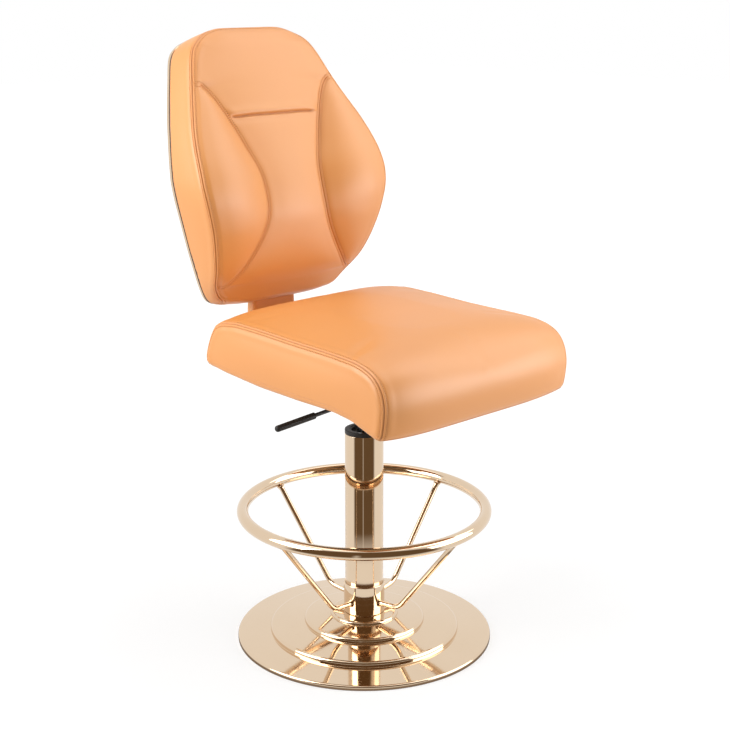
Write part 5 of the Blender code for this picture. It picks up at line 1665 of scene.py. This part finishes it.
def add_copies(name, places, pattern_mesh, material):
    """Copies the pattern to the places and leaves one plain mesh that rides on the seat."""
    mesh = bpy.data.meshes.new(name + "_places")
    mesh.from_pydata([tuple(item[0]) for item in places], [], [])
    for key, column in (("along", 1), ("out", 2)):
        layer = mesh.attributes.new(key, "FLOAT_VECTOR", "POINT")
        directions = np.array([item[column] for item in places], dtype=np.float32)
        layer.data.foreach_set("vector", directions.ravel())
    given = {"Pattern": loose_object("pattern", pattern_mesh), "Finish": material}
    obj = loose_object(name, mesh)
    modifier = obj.modifiers.new("Copies", "NODES")
    modifier.node_group = copies_tree
    for item in copies_tree.interface.items_tree:
        if item.name in given:
            modifier[item.identifier] = given[item.name]
    made = evaluated_mesh(obj)
    bpy.data.objects.remove(given["Pattern"], do_unlink=True)
    made.name = name
    print(name, "copies", len(places))
    return add_piece(name, made, material, "seat")


# %% Rows of thread and needle holes
stitch_pitch = 0.0042


def seat_keep(place, edge):
    """Not on the seam's hidden end under the seat."""
    return place[2] > 0.5285 or place[1] < -0.283


def back_keep(place, edge):
    """Not close to the trim bead."""
    return back_plane + rear_line(place[2] - back_low) - place[1] > 0.015


def inner_keep(place, edge):
    """Not across the edge seam's own rows."""
    return edge > 0.0066


thread_rows = []
for mesh, key, level, keep in (
    (seat_mesh, "edge", 0.0058, seat_keep), (back_mesh, "edge", 0.0050, back_keep),
    (back_mesh, "inner_side", 0.0048, inner_keep),
):
    thread_rows += contour(mesh, key, -level, keep) + contour(mesh, key, level, keep)
stitches = stitch_places(thread_rows, stitch_pitch, lift=0.00005, shift=0.5)
add_copies("stitches", stitches, pill_mesh("stitch", 0.0029, 0.0015, 0.0010), thread)
# Dark dots between the stitches paint the shade in the needle holes.
hole_shade_places = stitch_places(thread_rows, stitch_pitch)
add_copies("needle_holes", hole_shade_places, dot_mesh("hole", 0.0009, 0.000245), needle_hole)

# %% [markdown]
# ## Under the seat
# The leather is pulled over the edge of the board and stapled. A band of it shows all the
# way round, with a staple every few centimetres.

# %% Leather hem and staples
hem_inset, hem_width = 0.0012, 0.0220


def hem_mesh(count=260):
    """A thin band on the board's underside, whose inner edge runs in small waves."""
    waves = 0.0016 * np.sin(np.arange(count + 1) * 2 * pi * 23 / count)
    rings = []
    for share, drop in (
        (0.0, 0.0), (0.0, 0.0010), (0.12, 0.0012), (0.5, 0.0011), (0.9, 0.0012), (1.0, 0.0008), (1.0, 0.0)
    ):
        line = even_loop(closed(board_outline(hem_inset + share * hem_width)), count)
        line = line - unit(line - np.array([0.0, -0.05])) * (share * waves)[:, None]
        rings.append(np.column_stack([line, board_low.z - gap + board_kick(line[:, 1]) - drop]))
    return mesh_from_patches("hem", [closed(np.array(rings))])


add_piece("hem", hem_mesh(), tan, "seat")
staple_line = even_loop(closed(board_outline(0.0140)), 64)[:-1]
along = np.roll(staple_line, -1, axis=0) - np.roll(staple_line, 1, axis=0)
along = np.column_stack([unit(along), np.zeros(len(along))])
under_leather = np.column_stack([staple_line, board_low.z - 0.0017 + board_kick(staple_line[:, 1])])
staples = [(place, ahead, (0.0, 0.0, -1.0)) for place, ahead in zip(under_leather, along)]
add_copies("staples", staples, pill_mesh("staple", 0.0105, 0.0012, 0.0007), steel)

# %% [markdown]
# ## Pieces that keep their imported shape
# Bolts, washers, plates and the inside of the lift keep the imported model's shape. Each gets
# the finish of its real counterpart.

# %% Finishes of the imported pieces
packed_finishes = (
    (iron, "ballast_plate"),
    (paint, "column_flange lift_carrier_ring collar_grub_screw retaining_clip mechanism back_bracket"),
    (steel, "stand_tube base_screw bearing piston_rod lever_pivot_pin plate_bolt bracket_seat_bolt"),
    (steel, "bracket_back_bolt shell_screw valve_pin"),
    (rubber, "rod_bumper"),
    (ply, "seat_board"),
)
dressed = 0
for material, names in packed_finishes:
    for name, node in frame["nodes"].items():
        if name.startswith(tuple(names.split())):
            dressed += 1
            for place in node.material_slots:
                place.link = "OBJECT"
                place.material = material
print("packed pieces with a new finish", dressed)

# %% [markdown]
# ## Floor and studio light
# The photograph was taken on a white sweep. Our floor is a pale plane that mixes plain
# white with a surface that takes the chair's shadow, and far out it is plain white. The
# polished metal also needs something dark to mirror, as a real studio has on the camera's
# side. So mirrored rays alone see a brown sector of the floor and of the room behind it.

# %% Floor
white, brown = (1.0, 1.0, 1.0), (0.15, 0.095, 0.05)
toward = Vector((camera.location.x, camera.location.y, 0.0)).normalized()
size = 14.0
floor_mesh = bpy.data.meshes.new("floor")
floor_corners = [(-size, -size, 0), (size, -size, 0), (size, size, 0), (-size, size, 0)]
floor_mesh.from_pydata(floor_corners, [], [(0, 1, 2, 3)])
floor = loose_object("floor", floor_mesh)
finish = Finish("floor", None, Base_Color=(0.86, 0.86, 0.86), Roughness=0.9)
x, y = finish.axes()[:2]
radius = (x * x + y * y).maths("POWER", 0.5)
mirrored_ray = finish.value("ShaderNodeLightPath", "Is Glossy Ray")
spread_ray = finish.value("ShaderNodeLightPath", "Is Diffuse Ray")
facing = (x * toward.x + y * toward.y) / radius
sideways = (x * toward.y - y * toward.x) / radius
dark_sector = facing.rising(0.42, 0.16) * radius.rising(0.38, 0.22)
stripe = 1.0 - ((sideways - 0.10).maths("ABSOLUTE") / 0.07).clamped()
# A painted contact shadow: mirrored rays see a dark ring on the floor just outside the base's rim.
painted_contact_shadow = 1.0 - radius.rising(0.262, 0.014)
dark_amount = (mirrored_ray * (dark_sector * (1.0 - stripe * 0.5) + painted_contact_shadow * 0.85)).clamped()
strength = 1.12 - mirrored_ray * 0.12 - spread_ray * 0.38
glow = finish.node("ShaderNodeEmission", None, finish.mix(dark_amount, white, brown), strength)
plain = radius.rising(0.5, 1.0) * 0.42 + 0.58
plain = plain + mirrored_ray * (1.0 - plain)
blend = finish.node("ShaderNodeMixShader", None, plain, finish.surface.outputs[0], glow.outputs[0])
finish.feed(finish.tree.nodes["Material Output"].inputs["Surface"], blend.outputs[0])
floor_mesh.materials.append(finish.material)
print("floor", 2 * size, "m wide")

# %% World and lamps
world = bpy.data.worlds.new("studio")
bpy.context.scene.world = world
world.use_nodes = True
world.node_tree.nodes.clear()
room = Tree(world.node_tree)
direction = room.node("ShaderNodeTexCoord").outputs["Generated"]
facing = room.value("ShaderNodeVectorMath", "Value", {"operation": "DOT_PRODUCT"}, direction, tuple(toward))
height = room.value("ShaderNodeSeparateXYZ", "Z", None, direction)
camera_ray = room.value("ShaderNodeLightPath", "Is Camera Ray")
glossy_ray = room.value("ShaderNodeLightPath", "Is Glossy Ray")
dark = facing.rising(0.42, 0.16) * (1.0 - height.rising(0.80, 0.14))
diffuse_level = 0.17
level = glossy_ray + (1.0 - glossy_ray) * diffuse_level
level = camera_ray + (1.0 - camera_ray) * level
sky = room.node("ShaderNodeBackground", None, room.mix(dark * glossy_ray, white, brown), level)
room.node("ShaderNodeOutputWorld", None, sky.outputs[0])


def soft_box(name, place, aim_height, width, height, power):
    """A rectangular lamp that points at the chair's axis."""
    lamp = bpy.data.lights.new(name, "AREA")
    lamp.shape = "RECTANGLE"
    lamp.size, lamp.size_y = width, height
    lamp.energy = power
    obj = loose_object(name, lamp)
    obj.location = place
    obj.rotation_euler = (Vector((0, 0, aim_height)) - Vector(place)).to_track_quat("-Z", "Y").to_euler()


to_the_left = Vector((toward.y, -toward.x, 0.0))
soft_box("left_box", to_the_left * 2.3 + toward * 0.9 + Vector((0, 0, 1.75)), 0.8, 1.8, 2.4, 76)
soft_box("right_box", (1.50, -0.95, 2.35), 0.85, 1.8, 1.8, 23)
soft_box("low_box", (1.35, -1.85, 0.85), 0.6, 2.0, 1.2, 30)
soft_box("top_box", Vector((0, 0, 3.0)) - toward * 0.2, 0.6, 2.6, 2.6, 22)
bpy.context.scene.view_settings.view_transform = "Standard"
print("lamps", len(bpy.data.lights))
